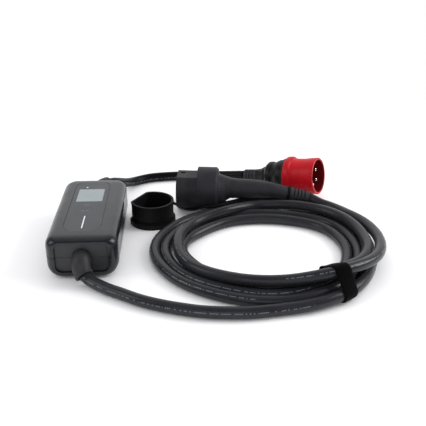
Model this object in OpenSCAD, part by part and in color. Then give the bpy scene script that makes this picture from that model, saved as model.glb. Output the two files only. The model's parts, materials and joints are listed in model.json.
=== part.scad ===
// Portable charging cable set: a control box in the cable, a coiled charge cable with its
// vehicle connector and dust cap, and a supply cable with a five-pin industrial plug.
// Millimetres. The origin is the middle of the control box's underside, +Y runs along the box
// from the charge cable to the supply cable, and +Z is up.

/* [Control box] */
// Width of the control box
box_w = 98; // [94:1:110]
// Length of the control box
box_l = 215; // [212:1:240]
// Height of the control box on its feet
box_h = 60; // [58:1:70]
// Wall of the two case shells
case_wall = 2.6; // [2:0.1:3.2]
// Radius along the upper edges of the case
upper_edge_r = 13; // [8:1:16]
// Radius along the lower edges of the case
lower_edge_r = 20; // [14:1:22]
// Height of the parting plane
parting_z = 32; // [30:1:34]
// Drop of the deck at its two ends
deck_drop = 5; // [1:0.5:6]
// Depth of the end plates behind the rim
end_recess = 3; // [2:0.5:3.5]
// Width of the opening in each end wall
end_open_w = 72; // [64:1:74]
// Height of the rim above the opening in each end wall
end_rim = 1.5; // [1:0.5:4]

/* [Panel] */
// Width of the fascia panel
fascia_w = 52; // [50:1:60]
// Length of the fascia panel
fascia_l = 180; // [170:1:186]
// Corner radius of the fascia panel
fascia_r = 20; // [10:1:24]
// Thickness of the fascia panel
fascia_t = 1; // [0.8:0.1:1.2]
// Width of the display window
window_w = 39; // [34:1:40]
// Length of the display window
window_l = 47; // [40:1:48]
// Diameter of the status lamp lens
led_d = 3; // [2:0.5:4]
// Length of the light bar
bar_l = 40; // [30:1:44]
// Width of the light bar
bar_w = 1.6; // [1:0.2:3]

/* [Cables] */
// Diameter of the charge cable and the supply cable
cable_d = 16; // [14:0.5:16]
// Diameter of the two cable boots
boot_d = 27; // [24:1:28]
// Width of the hook-and-loop strap
strap_w = 21; // [16:1:24]
// Thickness of the hook-and-loop strap
strap_t = 2.2; // [1.5:0.1:2.4]

/* [Vehicle connector] */
// Radius of the connector's skirt
skirt_r = 31.3; // [30.5:0.1:31.5]
// Distance from the connector's axis to the flat on its skirt
skirt_flat = 26.5; // [25:0.5:28]
// Wall of the skirt
skirt_wall = 2.8; // [2.2:0.1:3]
// Length of the skirt in front of the collar
skirt_l = 33.5; // [30:0.5:36]
// Radius of the contact carrier
carrier_r = 22.3; // [21:0.1:22.6]
// Depth of the carrier's face behind the mouth
carrier_recess = 3.5; // [2:0.5:5]
// Inside diameter of a power contact
power_d = 6; // [5.5:0.1:6.2]
// Inside diameter of a signal contact
signal_d = 3; // [2.5:0.1:3.2]
// Radius of the collar
collar_r = 34.5; // [33:0.5:34.5]
// Length of the collar
collar_l = 34; // [30:1:36]
// Wall of the two grip halves
grip_wall = 3; // [2.5:0.1:3.4]
// Length of the connector's bend relief
relief_l = 31.5; // [28:0.5:36]

/* [Dust cap] */
// Outside radius of the cap
cap_r = 34; // [32.5:0.1:34.5]
// Distance from the cap's axis to its flat
cap_flat = 25.9; // [25:0.1:27]
// Wall of the cap
cap_wall = 3.4; // [2.8:0.1:3.6]
// Height of the cap
cap_h = 37; // [34:1:40]
// Width of the tether strap
tether_w = 8; // [6:0.5:9]
// Thickness of the tether strap
tether_t = 2.5; // [2:0.5:3]

/* [Industrial plug] */
// Radius of the shroud at its mouth
shroud_r = 31; // [30:0.5:32]
// Inside radius of the shroud
shroud_bore_r = 27.6; // [26.5:0.1:27.8]
// Depth of the shroud from its mouth to the pin carrier
shroud_depth = 40; // [36:1:42]
// Radius of the flange behind the shroud
flange_r = 33.2; // [32.5:0.1:34]
// Radius of the circle on which the pins stand
pin_circle_r = 15; // [13.5:0.5:16]
// Diameter of a line pin
line_pin_d = 6; // [5:0.5:6.5]
// Diameter of the earth pin
earth_pin_d = 8; // [7:0.5:8.5]
// Depth of the pin tips behind the mouth
pin_recess = 8; // [6:1:12]

/* [Hidden] */

$fn = 48;

// Running clearance between rigid pieces, and the finer one round pins and screws
clearance = 0.3;
fit_gap = 0.12;
// Overshoot of a cut past the face that it opens
over = 1;

// Control box
foot_h = 1.6;
foot_seat = 0.8;
foot_d = 13;
foot_x = box_w / 2 - 26;
foot_y = box_l / 2 - 36;
seal_t = 0.8;
end_wall = 4;
end_open_r = 9;
end_open_z = 10.5;
end_open_h = box_h - deck_drop - end_rim - end_open_z;
plan_r = 16;
plan_inner_r = 10;
heel_r = 8;
end_flange = 2.6;
end_flange_t = 2.6;
end_plate_t = 4;
crown_l = 24;
case_top = box_h;
ceiling_z = case_top - case_wall;
case_floor = foot_h + case_wall;
plate_face = box_l / 2 - end_recess;
plate_back = plate_face - end_plate_t;

// Case screws and the bosses that they join
case_screw_d = 4;
case_screw_head_d = 7;
case_screw_head_h = 2.6;
case_screw_sink = 3.4;
case_screw_top = 46;
boss_r = 4.6;
case_boss_x = box_w / 2 - 20;
case_boss_y = box_l / 2 - 17;

// Panel on the deck
fascia_x = -2;
fascia_y = box_l / 2 - 99.5;
fascia_seat = 1.2;
window_y = fascia_y + 35;
window_ledge = 2;
window_r = 1.5;
led_x = -10.5;
led_y = fascia_y + 66;
bar_y = fascia_y - 60;
fascia_top = case_top - fascia_seat + fascia_t;

// Boards
board_t = 1.6;
display_t = 4.1;
display_w = window_w + 3;
display_l = window_l + 3;
display_top = ceiling_z - clearance;
key_board_top = display_top - display_t;
key_board_w = 48;
key_board_l = 150;
key_boss_x = key_board_w / 2 - 5;
key_boss_y = key_board_l / 2 - 4;
main_board_w = 66;
main_board_l = 152;
main_board_z = 14;
board_boss_x = main_board_w / 2 - 6;
board_boss_y = main_board_l / 2 - 6;
board_screw_d = 3;
board_top = main_board_z + board_t;
relay_w = 14;
relay_l = 26;
relay_h = 20;
relay_pitch = 18;
relay_y = -30;
sensor_r = 15;
sensor_bore_r = 8;
sensor_w = 12;
sensor_y = -4;
module_w = 34;
module_l = 24;
module_h = 18;
module_y = 24;
terminal_w = 50;
terminal_l = 12;
terminal_h = 14;
terminal_y = main_board_l / 2 - 20;
terminal_bore_d = 5;

// Boots and the cord clamps behind the end plates
boot_z = 31;
boot_neck_r = 10;
boot_flange_r = 13;
boot_flange_t = 2;
boot_mouth_r = 10.4;
boot_mouth_depth = 4;
neck_end = plate_back - 14;
clamp_l = 7;
clamp_y = neck_end + clamp_l / 2 + 1.5;
clamp_half_w = 17;

// Vehicle connector: where its mouth stands, how it lies, and its spine in its own frame
connector_place = [130.5, 129.7, 32];
connector_turn = -6.6;
latch_slot_w = 6;
latch_slot_y = 6;
latch_slot_l = 8;
skirt_grooves = 5;
skirt_groove_pitch = 2.4;
skirt_groove_depth = 0.3;
latch_slot_x = 5;
carrier_l = skirt_l - carrier_recess;
carrier_flat = 18.5;
power_wall = 1;
signal_wall = 0.8;
contact_l = 23;
contact_depth = 3;
power_spots = [[-16.5, 0], [0, 0], [16.5, 0], [-8.7, -14.4], [8.7, -14.4]];
signal_spots = [[-8.2, 13], [8.2, 13]];
collar_lift = 3;
collar_chamfer = 3;
spigot_r = 24;
spigot_l = 10;
neck_ring_l = 22;
collar_end = skirt_l + clearance + collar_l;
grip_stations = [
    [collar_end + 0.3, 1, 28, 28], [74, 2, 25, 25], [80, 3.3, 20.8, 20.4], [88, 3.5, 17.8, 17],
    [100, 2.9, 17, 16], [116, 3.8, 16, 14.8], [134, 3.8, 15, 13.4], [152, 2.2, 13.6, 12.4],
    [170, -1, 12.6, 11.4], [181, -3.6, 11.9, 11]
];
grip_end = grip_stations[len(grip_stations) - 1];
grip_screw_d = 3;
grip_screw_head_d = 5.4;
grip_screw_head_h = 2.2;
grip_boss_r = 3.6;
grip_screw_spots = [for (x = [92, 126, 160]) [x, grip_z(x)]];
grip_reach = 240;
grip_screw_sink = 3;
relief_angle = 9.5;
relief_axis = [cos(relief_angle), 0, -sin(relief_angle)];
relief_r = 10.8;
relief_end_r = 10;
relief_slots = 4;
relief_slot_w = 1.6;
relief_slot_r = 8.7;
relief_neck_l = 5;
relief_neck_r = 9.2;
relief_x = grip_end[0] + 0.3 + relief_neck_l;
relief_z = grip_end[1] - relief_neck_l * sin(relief_angle);
tether_ring_r = relief_neck_r + 0.2;
tether_ring_w = 2.9;
tether_ring_l = relief_neck_l - 2 * clearance;

// Dust cap
cap_place = [89.8, 73, 0];
cap_turn = 149;
cap_base_r = cap_r + 2.2;
cap_base_h = 8;
cap_floor = 6;
cap_rib_h = 1.2;
cap_rib_gap = 6;
cap_lip_h = 2.5;

// Industrial plug: its mouth's centre, and the direction that the mouth faces
plug_place = [370, 147.5, 42.6];
plug_turn = -31.3;
plug_lift = 10;
plug_roll = 82;
plug_length = 139;
plug_axis = [cos(plug_lift) * cos(plug_turn), cos(plug_lift) * sin(plug_turn),
             sin(plug_lift)];
pin_step = 72;
flange_x = 44.5;
flange_l = 10;
seal_x = flange_x + flange_l + clearance;
seal_l = 5;
body_x = seal_x + seal_l + clearance;
body_l = 35.4;
nut_x = body_x + body_l + clearance;
nut_l = 19.5;
plug_relief_x = nut_x + nut_l + clearance;
plug_relief_l = plug_length - plug_relief_x;
plug_relief_r = 10.4;
carrier_t = 6;
pin_root = 12;
pin_neck_gap = 0.5;
pin_root_step = 0.8;
sleeve_r = 22;

// Routes of the free stretches of cable, as points on the centre line
cable_r = cable_d / 2;
lay_z = 8;
front_boot_path = spline([
    [0, -plate_face, boot_z], [0, -plate_face - 7, 30], [-0.5, -plate_face - 12.5, 27.5],
    [-0.5, -plate_face - 16.5, 22.5], [1.5, -plate_face - 18.7, 18],
    [5, -plate_face - 20, 14.5]
], 2);
rear_boot_path = spline([
    [0, plate_face, boot_z], [0.5, plate_face + 10, 33.5], [2.8, plate_face + 21, 36.5],
    [7.5, plate_face + 31, 37.5], [13, plate_face + 40, 36.5]
], 2);
front_boot_out = heading(front_boot_path, len(front_boot_path) - 1);
rear_boot_out = heading(rear_boot_path, len(rear_boot_path) - 1);
lead_path = [
    front_boot_path[len(front_boot_path) - 1] - front_boot_out * (boot_mouth_depth - 0.1),
    [9.5, -127, 11.3], [17, -133.5, 9.3], [27, -141.5, 8.5], [40, -151.5, 8.1],
    [54, -160.5, 8], [80, -178.5, 8], [106, -191.5, 8], [131, -201, 8], [157, -208.7, 8],
    [187, -213, 8], [218, -214, 8], [245, -211, 8], [261.2, -208, 8]
];
supply_path = [
    rear_boot_path[len(rear_boot_path) - 1] - rear_boot_out * (boot_mouth_depth - 0.1),
    [20, 156.5, 34.3], [26, 169, 29.5], [32, 184, 23], [39.5, 201, 15.5], [49, 217, 10.3],
    [62, 231, 8], [84, 242, 8], [116, 247, 8], [150, 249, 8], [185, 249, 8],
    [205, 245, 8.8], [222, 237.5, 11.5], plug_place - plug_axis * (plug_length + 17),
    plug_place - plug_axis * plug_length
];

// The coil lies on a grid of stations round its centre. Each row is one turn, from the
// station where the lead joins it: the radius and the height of the centre line.
coil_centre = [262, -34, 0];
coil_step = 30;
coil_start = -90;
coil_end = 1470;
coil_radii = [
    174, 168, 153, 148, 145, 145, 165, 139, 152, 166, 165, 159,
    157, 149, 134.5, 128, 124, 111, 108, 117, 135, 150, 150, 143,
    141, 133, 118.5, 111, 104.5, 92.5, 89.5, 95.5, 105.5, 126, 124, 123,
    124, 136, 143.5, 140, 136.5, 127.5, 123.5, 109, 122, 131, 139, 134,
    133, 151, 160.5, 159, 159, 160
];
coil_heights = [
    8, 11.3, 8, 8, 8, 8, 8, 8, 8, 8, 8, 8,
    8, 11.3, 8, 8, 8, 8, 8, 8, 8, 8, 8, 8,
    8, 11.3, 8, 8, 8, 8, 8, 8, 8, 8, 8, 8,
    10, 26.4, 23, 21, 21, 20, 16, 21.5, 17.5, 22.8, 20, 21.5,
    24, 35, 29, 23, 17, 16
];
tail_path = [
    coil_centre + [coil_r(coil_end) * cos(coil_end + 0.3),
                   coil_r(coil_end) * sin(coil_end + 0.3), coil_z(coil_end)],
    [391.5, 65.8, 14.5], [379.4, 84.2, 13.5], [364.4, 94.8, 15.5],
    connector_place + connector_direction(
        [relief_x, 0, relief_z] + relief_axis * relief_l)
];
tether_path = [
    [cap_place[0] + cap_r - 0.7, cap_place[1] - 1.5, 31.5], [128, 71.5, 29], [132.5, 77, 22.5],
    [138, 85, 15], [145, 92, 10.5], [155, 94.5, 9.2], [165.5, 93, 12], [176, 89, 16.8],
    [187.5, 85.5, 18.2], [196, 88, 19.5], [203.5, 91.5, 19.6], [214, 98, 19.3],
    [226, 104.5, 19], [238, 111, 18.6], [251, 115.5, 18], [264, 116, 17.8],
    [277, 114, 17.6], [290, 112, 17.4], [303, 110, 16.2],
    connector_place + connector_direction(
        [relief_x - relief_neck_l + 1, 0, relief_z - tether_ring_r - 0.6 * tether_ring_w])
];
strap_angle = -60;
strap_half = strap_w / 2 / 148 * 180 / PI;
bundle_steps = 14;
bundle_sides = bundle_steps + 5;

// Helpers

function unit(v) = v / norm(v);

// Smooth curve through hand-placed points, with the given number of steps between two of them
function spline(list, steps) =
    let (last = len(list) - 1)
    [for (i = [0:last - 1], k = [0:steps - 1])
        let (a = list[max(i - 1, 0)], b = list[i], c = list[i + 1],
             d = list[min(i + 2, last)], u = k / steps)
        0.5 * (2 * b + (c - a) * u + (2 * a - 5 * b + 4 * c - d) * u * u
               + (3 * b - a - 3 * c + d) * u * u * u),
     list[last]];

// Height of the grip's spine at a distance from the mouth
function grip_z(x) = lookup(x, [for (s = grip_stations) [s[0], s[1]]]);

// Direction of a route at one of its points
function heading(path, i) =
    unit(path[min(i + 1, len(path) - 1)] - path[max(i - 1, 0)]);

// Corners of a closed section round a point of a route, a wide and b high
function section_ring(c, t, a, b, sides, turn) =
    let (s = unit(cross([0, 0, 1], t)), u = cross(t, s))
    [for (i = [0:sides - 1])
        let (w = turn + 360 * i / sides) c + s * a * cos(w) + u * b * sin(w)];

// Faces of a solid through equal rings, closed at both ends
function skin_faces(rings, sides) = concat(
    [[for (i = [0:sides - 1]) i]],
    [for (k = [0:rings - 2], i = [0:sides - 1])
        let (j = (i + 1) % sides, a = k * sides + i, b = k * sides + j)
        each [[a, a + sides, b], [b, a + sides, b + sides]]],
    [[for (i = [sides - 1:-1:0]) (rings - 1) * sides + i]]
);

// Faces of a closed loop of rings
function loop_faces(rings, sides) =
    [for (k = [0:rings - 1], i = [0:sides - 1])
        let (n = (k + 1) % rings, j = (i + 1) % sides,
             a = k * sides + i, b = k * sides + j, c = n * sides + i, d = n * sides + j)
        each [[a, c, b], [b, c, d]]];

// A tube swept along a route, with its ends square to the given directions
module sweep_tube(path, a, b, sides, start, end, turn = 0) {
    last = len(path) - 1;
    rings = [for (i = [0:last])
        let (t = i == 0 ? start : i == last ? end : heading(path, i))
        section_ring(path[i], unit(t), a, b, sides, turn)];
    polyhedron(points = [for (ring = rings) each ring],
               faces = skin_faces(last + 1, sides), convexity = 8);
}

// A lofted solid through stations [x, centre height, half width, half height]
module loft(stations, inset, sides, start, end) {
    last = len(stations) - 1;
    rings = [for (i = [0:last])
        let (s = stations[i],
             p = stations[max(i - 1, 0)],
             n = stations[min(i + 1, last)],
             t = i == 0 ? start : i == last ? end : unit([n[0] - p[0], 0, n[1] - p[1]]))
        section_ring([s[0], 0, s[1]], t, s[2] - inset, s[3] - inset, sides, 0)];
    polyhedron(points = [for (ring = rings) each ring],
               faces = skin_faces(last + 1, sides), convexity = 8);
}

// Linear blend of a list at a place between two of its entries
function blend_at(list, u) =
    let (i = min(floor(u), len(list) - 2), f = u - i)
    list[i] * (1 - f) + list[i + 1] * f;

function coil_place(angle) = (angle - coil_start) / coil_step;
function coil_r(angle) = blend_at(coil_radii, coil_place(angle));
function coil_z(angle) = blend_at(coil_heights, coil_place(angle));

// Angles at which the cable passes one direction from the coil's centre
function passes(phi) =
    [for (n = [0:4]) let (a = phi + 360 * n) if (a >= coil_start && a <= coil_end) a];

// Height of one strand's upper side at a radius, which falls away beside the strand
function strand_top(r, z, u) =
    let (d = abs(u - r))
    z + sqrt(max(0, cable_r * cable_r - d * d)) - 1.2 * max(0, d - cable_r);

// Height of a band drawn tight over two strands, at a radius between them
function band_over(r1, z1, r2, z2, u) =
    u < min(r1, r2) || u > max(r1, r2) || r1 == r2
        ? 0
        : cable_r + z1 + (z2 - z1) * (u - r1) / (r2 - r1);

// Section of the whole bundle in one direction, as [radius, height] corners. A tight one
// spans from strand to strand, as a strap does.
function bundle_section(phi, grow, tight) =
    let (p = passes(phi),
         last = len(p) - 1,
         radii = [for (a = p) coil_r(a)],
         heights = [for (a = p) coil_z(a)],
         ri = min(radii) - cable_r,
         ro = max(radii) + cable_r,
         low = min(heights) - cable_r,
         c = 3,
         tops = [for (k = [0:bundle_steps])
             let (u = ri + 0.6 + (ro - ri - 1.2) * k / bundle_steps,
                  own = max([for (i = [0:last]) strand_top(radii[i], heights[i], u)]),
                  span = max([for (i = [0:last], j = [0:last])
                      band_over(radii[i], heights[i], radii[j], heights[j], u)]))
             [u + grow * (2 * k / bundle_steps - 1),
              grow + max(low + cable_r, own, tight ? span : 0)]])
    concat(
        [[ri + c - grow, low - grow], [ro - c + grow, low - grow], [ro + grow, low + c]],
        [for (k = [bundle_steps:-1:0]) tops[k]],
        [[ri - grow, low + c]]
    );

function bundle_ring(phi, grow, tight) =
    let (q = bundle_section(phi, grow, tight))
    [for (i = [bundle_sides - 1:-1:0])
        coil_centre + [q[i][0] * cos(phi), q[i][0] * sin(phi), q[i][1]]];

// Rounded rectangle with true arcs
module rounded_rect(w, l, r) {
    square([w - 2 * r, l], center = true);
    square([w, l - 2 * r], center = true);
    for (x = [-1, 1], y = [-1, 1])
        translate([x * (w / 2 - r), y * (l / 2 - r)]) circle(r);
}

// Disc with a flat on its +Y side
module d_disc(r, flat) {
    difference() {
        circle(r);
        translate([-r - over, flat]) square([2 * (r + over), r]);
    }
}

// Control box

// Section of the case across its length, drawn in X and Z
module case_section(inset) {
    half = box_w / 2 - inset;
    low = foot_h + inset;
    top = case_top - inset;
    ru = upper_edge_r - inset;
    rl = lower_edge_r - inset;
    polygon([
        [-half + rl, low], [half - rl, low], [half, low + rl], [half, top - ru],
        [half - ru, top], [-half + ru, top], [-half, top - ru], [-half, low + rl]
    ]);
    for (side = [-1, 1]) {
        translate([side * (half - rl), low + rl]) circle(rl);
        translate([side * (half - ru), top - ru]) circle(ru);
    }
}

// Profile of the case along its length, whose deck falls away at both ends
module case_profile() {
    steps = 4;
    end = box_l / 2;
    crown = [for (i = [0:steps])
        let (f = i / steps) [end - crown_l * (1 - f), case_top - deck_drop * f * f]];
    polygon(concat(
        crown, [[end, heel_r]],
        [for (w = [-30, -60, -90]) [end - heel_r * (1 - cos(w)), heel_r * (1 + sin(w))]],
        [for (w = [-90, -60, -30]) [-end + heel_r * (1 - cos(w)), heel_r * (1 + sin(w))]],
        [[-end, heel_r]],
        [for (i = [steps:-1:0]) [-crown[i][0], crown[i][1]]]
    ));
}

module case_envelope(inset, length) {
    rotate([90, 0, 0])
        linear_extrude(length, center = true) case_section(inset);
}

// Outline of the case seen from above, as an upright prism
module case_plan(inset, end, r) {
    linear_extrude(3 * box_h, center = true)
        rounded_rect(box_w - 2 * inset, box_l - 2 * end, r);
}

module case_outside() {
    intersection() {
        case_envelope(0, box_l);
        case_plan(0, 0, plan_r);
        rotate([90, 0, 90])
            linear_extrude(box_w + 2, center = true) case_profile();
    }
}

module case_inside() {
    intersection() {
        case_envelope(case_wall, box_l - 2 * end_wall);
        case_plan(case_wall, end_wall, plan_inner_r);
        translate([0, 0, -case_wall])
            rotate([90, 0, 90])
                linear_extrude(box_w, center = true) case_profile();
    }
}

module end_openings(grow) {
    translate([0, 0, end_open_z + end_open_h / 2])
        rotate([90, 0, 0])
            linear_extrude(box_l + 2 * over, center = true)
                rounded_rect(end_open_w + 2 * grow, end_open_h + 2 * grow, end_open_r + grow);
}

module at_case_bosses() {
    for (x = [-1, 1], y = [-1, 1])
        translate([x * case_boss_x, y * case_boss_y, 0]) children();
}

module at_board_bosses() {
    for (x = [-1, 1], y = [-1, 1])
        translate([x * board_boss_x, y * board_boss_y, 0]) children();
}

module at_key_bosses() {
    for (x = [-1, 1], y = [-1, 1])
        translate([x * key_boss_x, fascia_y / 2 + y * key_boss_y, 0]) children();
}

module slab(low, high) {
    translate([-box_w, -box_l, low]) cube([2 * box_w, 2 * box_l, high - low]);
}

module lower_case() {
    seam = parting_z - seal_t / 2;
    color("#2c2d2f")
    difference() {
        union() {
            difference() {
                intersection() {
                    case_outside();
                    slab(0, seam);
                }
                case_inside();
                end_openings(0);
            }
            at_case_bosses()
                translate([0, 0, foot_h + 1]) cylinder(r = boss_r, h = seam - foot_h - 1);
            at_board_bosses()
                translate([0, 0, foot_h + 1])
                    cylinder(r = boss_r, h = main_board_z - foot_h - 1);
        }
        at_case_bosses() {
            translate([0, 0, -over])
                cylinder(d = case_screw_d + 2 * fit_gap, h = box_h);
            translate([0, 0, -over])
                cylinder(d = case_screw_head_d + 2 * clearance,
                         h = over + foot_h + case_screw_sink);
        }
        at_board_bosses()
            translate([0, 0, case_floor])
                cylinder(d = board_screw_d + 2 * fit_gap, h = box_h);
        for (x = [-1, 1], y = [-1, 1])
            translate([x * foot_x, y * foot_y, -over])
                cylinder(d = foot_d + 2 * clearance, h = over + foot_h + foot_seat);
    }
}

module upper_case() {
    seam = parting_z + seal_t / 2;
    color("#2c2d2f")
    difference() {
        union() {
            difference() {
                intersection() {
                    case_outside();
                    slab(seam, box_h + over);
                }
                case_inside();
                end_openings(0);
            }
            at_case_bosses()
                translate([0, 0, seam]) cylinder(r = boss_r, h = ceiling_z - 0.2 - seam);
            at_key_bosses()
                translate([0, 0, key_board_top])
                    cylinder(r = boss_r / 2 + 1, h = ceiling_z + 0.5 - key_board_top);
        }
        at_case_bosses()
            translate([0, 0, seam - over])
                cylinder(d = case_screw_d + 2 * fit_gap, h = case_screw_top + 1 - seam + over);
        translate([fascia_x, fascia_y, case_top - fascia_seat])
            linear_extrude(fascia_seat + over)
                rounded_rect(fascia_w + 2 * clearance, fascia_l + 2 * clearance,
                             fascia_r + clearance);
        translate([fascia_x, window_y, ceiling_z - over])
            linear_extrude(2 * over + case_wall)
                rounded_rect(window_w - 2 * window_ledge, window_l - 2 * window_ledge,
                             window_r);
        translate([led_x, led_y, ceiling_z - over])
            cylinder(d = led_d + 2 * clearance, h = case_wall + 2 * over);
        translate([fascia_x - bar_w / 2 - clearance, bar_y - bar_l / 2 - clearance, ceiling_z - over])
            cube([bar_w + 2 * clearance, bar_l + 2 * clearance, case_wall + 2 * over]);
    }
}

module case_seal() {
    color("#161616")
    difference() {
        intersection() {
            case_outside();
            slab(parting_z - seal_t / 2, parting_z + seal_t / 2);
        }
        intersection() {
            case_envelope(case_wall, box_l - 2 * end_wall);
            case_plan(case_wall, end_wall, plan_inner_r);
        }
        end_openings(0);
    }
}

// End plate in the rim's opening, held by a flange behind the end wall. Drawn for the rear.
module end_plate() {
    flange_front = box_l / 2 - end_wall - clearance;
    difference() {
        union() {
            translate([0, plate_face, end_open_z + end_open_h / 2])
                rotate([90, 0, 0])
                    linear_extrude(end_plate_t)
                        rounded_rect(end_open_w - 2 * clearance,
                                     end_open_h - 2 * clearance, end_open_r - clearance);
            translate([0, flange_front, end_open_z + end_open_h / 2])
                rotate([90, 0, 0])
                    linear_extrude(end_flange_t)
                        rounded_rect(end_open_w + 2 * end_flange - 2 * clearance,
                                     end_open_h - 2 * clearance, end_open_r - clearance);
        }
        translate([0, box_l / 2, boot_z])
            rotate([90, 0, 0])
                cylinder(r = boot_neck_r + fit_gap, h = box_l / 2);
        // Fine groove that carries the parting line across the plate
        translate([-end_open_w / 2, plate_face - 0.4, parting_z - seal_t / 2])
            cube([end_open_w, over, seal_t]);
    }
}

module front_end_plate() {
    color("#3a3b3d") mirror([0, 1, 0]) end_plate();
}

module rear_end_plate() {
    color("#3a3b3d") end_plate();
}

module case_screws() {
    head_z = foot_h + case_screw_sink - case_screw_head_h;
    color("#8d8f92")
    at_case_bosses()
        difference() {
            union() {
                translate([0, 0, head_z])
                    cylinder(d = case_screw_head_d, h = case_screw_head_h);
                translate([0, 0, head_z])
                    cylinder(d = case_screw_d, h = case_screw_top - head_z);
            }
            translate([0, 0, head_z - over]) cylinder(d = 3.4, h = over + 1.6, $fn = 6);
        }
}

module feet() {
    color("#1c1c1c")
    for (x = [-1, 1], y = [-1, 1])
        translate([x * foot_x, y * foot_y, 0]) {
            cylinder(d1 = foot_d - 1.6, d2 = foot_d, h = 0.8);
            translate([0, 0, 0.8]) cylinder(d = foot_d, h = foot_h + foot_seat - 0.8);
        }
}

module fascia_panel() {
    color("#3b3e41")
    translate([0, 0, fascia_top - fascia_t])
    difference() {
        translate([fascia_x, fascia_y, 0])
            linear_extrude(fascia_t) rounded_rect(fascia_w, fascia_l, fascia_r);
        translate([fascia_x, window_y, -over])
            linear_extrude(fascia_t + 2 * over)
                rounded_rect(window_w + 2 * fit_gap, window_l + 2 * fit_gap, window_r);
        translate([led_x, led_y, -over])
            cylinder(d = led_d + 2 * fit_gap, h = fascia_t + 2 * over);
        translate([fascia_x - bar_w / 2 - fit_gap, bar_y - bar_l / 2 - fit_gap, -over])
            cube([bar_w + 2 * fit_gap, bar_l + 2 * fit_gap, fascia_t + 2 * over]);
    }
}

module display_window() {
    color("#b9c3c8")
    translate([fascia_x, window_y, fascia_top - fascia_t])
        linear_extrude(fascia_t) rounded_rect(window_w, window_l, window_r);
}

module status_led() {
    color("#e8f2f2")
    translate([led_x, led_y, key_board_top])
        cylinder(d = led_d, h = fascia_top - key_board_top);
}

module light_bar() {
    color("#f2f4f4")
    translate([fascia_x - bar_w / 2, bar_y - bar_l / 2, key_board_top])
        cube([bar_w, bar_l, fascia_top - key_board_top]);
}

module display_module() {
    color("#9fb0b4")
    translate([fascia_x, window_y, key_board_top])
        linear_extrude(display_t) rounded_rect(display_w, display_l, window_r);
}

module key_board() {
    color("#1f5a3c")
    difference() {
        translate([0, fascia_y / 2, key_board_top - board_t])
            linear_extrude(board_t) rounded_rect(key_board_w, key_board_l, 2);
        at_key_bosses()
            translate([0, 0, key_board_top - board_t - over])
                cylinder(d = board_screw_d, h = board_t + 2 * over);
    }
}

module main_board() {
    color("#1f5a3c")
    difference() {
        translate([0, 0, main_board_z])
            linear_extrude(board_t) rounded_rect(main_board_w, main_board_l, 3);
        at_board_bosses()
            translate([0, 0, main_board_z - over])
                cylinder(d = board_screw_d + 2 * fit_gap, h = board_t + 2 * over);
    }
}

module board_screws() {
    color("#8d8f92")
    at_board_bosses() {
        translate([0, 0, case_floor + 1])
            cylinder(d = board_screw_d, h = board_top - case_floor - 1);
        difference() {
            translate([0, 0, board_top]) cylinder(d = 2 * board_screw_d - 0.4, h = 2);
            translate([-board_screw_d, -0.4, board_top + 1]) cube([2 * board_screw_d, 0.8, 2]);
        }
    }
}

module relays() {
    color("#202a33")
    for (i = [-1:1])
        translate([i * relay_pitch, relay_y, board_top]) {
            linear_extrude(relay_h - 1) rounded_rect(relay_w, relay_l, 1);
            translate([0, 0, relay_h - 1])
                linear_extrude(1) rounded_rect(relay_w - 1.6, relay_l - 1.6, 1);
        }
}

module current_sensor() {
    color("#25272a")
    translate([0, sensor_y, board_top + sensor_r])
        rotate([90, 0, 0])
            rotate_extrude()
                translate([(sensor_r + sensor_bore_r) / 2, 0])
                    rounded_rect(sensor_r - sensor_bore_r, sensor_w, 2);
}

module supply_module() {
    color("#30343a")
    translate([0, module_y, board_top]) {
        linear_extrude(module_h * 0.4) rounded_rect(module_w, module_l, 1.5);
        translate([0, 0, module_h * 0.4])
            linear_extrude(module_h * 0.6) rounded_rect(module_w - 8, module_l - 4, 2);
    }
}

// Block of five screw terminals, its wire holes facing the nearer end of the box
module terminals(side) {
    pitch = terminal_w / 5;
    difference() {
        translate([-terminal_w / 2, side * terminal_y - terminal_l / 2, board_top])
            cube([terminal_w, terminal_l, terminal_h]);
        for (i = [-2:2]) {
            translate([i * pitch, side * (terminal_y - terminal_l / 2 + 2),
                       board_top + terminal_bore_d / 2 + 1.5])
                rotate([side * -90, 0, 0]) cylinder(d = terminal_bore_d, h = terminal_l);
            translate([i * pitch, side * terminal_y, board_top + terminal_h - 3])
                cylinder(d = terminal_bore_d, h = 3 + over);
        }
    }
}

module front_terminals() {
    color("#5a5f57") terminals(-1);
}

module rear_terminals() {
    color("#5a5f57") terminals(1);
}

// Two-part saddle round a boot's neck, standing on the case floor
module cord_clamp(side) {
    bore = boot_neck_r + fit_gap;
    base = case_floor;
    translate([0, side * clamp_y, 0])
    difference() {
        union() {
            translate([-clamp_half_w, -clamp_l / 2, base])
                cube([2 * clamp_half_w, clamp_l, boot_z - base - 0.4]);
            translate([-clamp_half_w, -clamp_l / 2, boot_z + 0.4])
                cube([2 * clamp_half_w, clamp_l, boot_neck_r + 3]);
        }
        translate([0, 0, boot_z])
            rotate([90, 0, 0]) cylinder(r = bore, h = clamp_l + 2 * over, center = true);
        for (x = [-1, 1])
            translate([x * (clamp_half_w - 3), 0, base + 8])
                cylinder(d = board_screw_d, h = box_h);
    }
}

module front_cord_clamp() {
    color("#44474a") cord_clamp(-1);
}

module rear_cord_clamp() {
    color("#44474a") cord_clamp(1);
}

// Neck and inner flange of a boot, drawn for the rear end
module boot_root() {
    translate([0, neck_end, boot_z])
        rotate([-90, 0, 0]) cylinder(r = boot_neck_r, h = plate_face - neck_end + 0.5);
    translate([0, plate_back - clearance - boot_flange_t, boot_z])
        rotate([-90, 0, 0]) cylinder(r = boot_flange_r, h = boot_flange_t);
}

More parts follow.
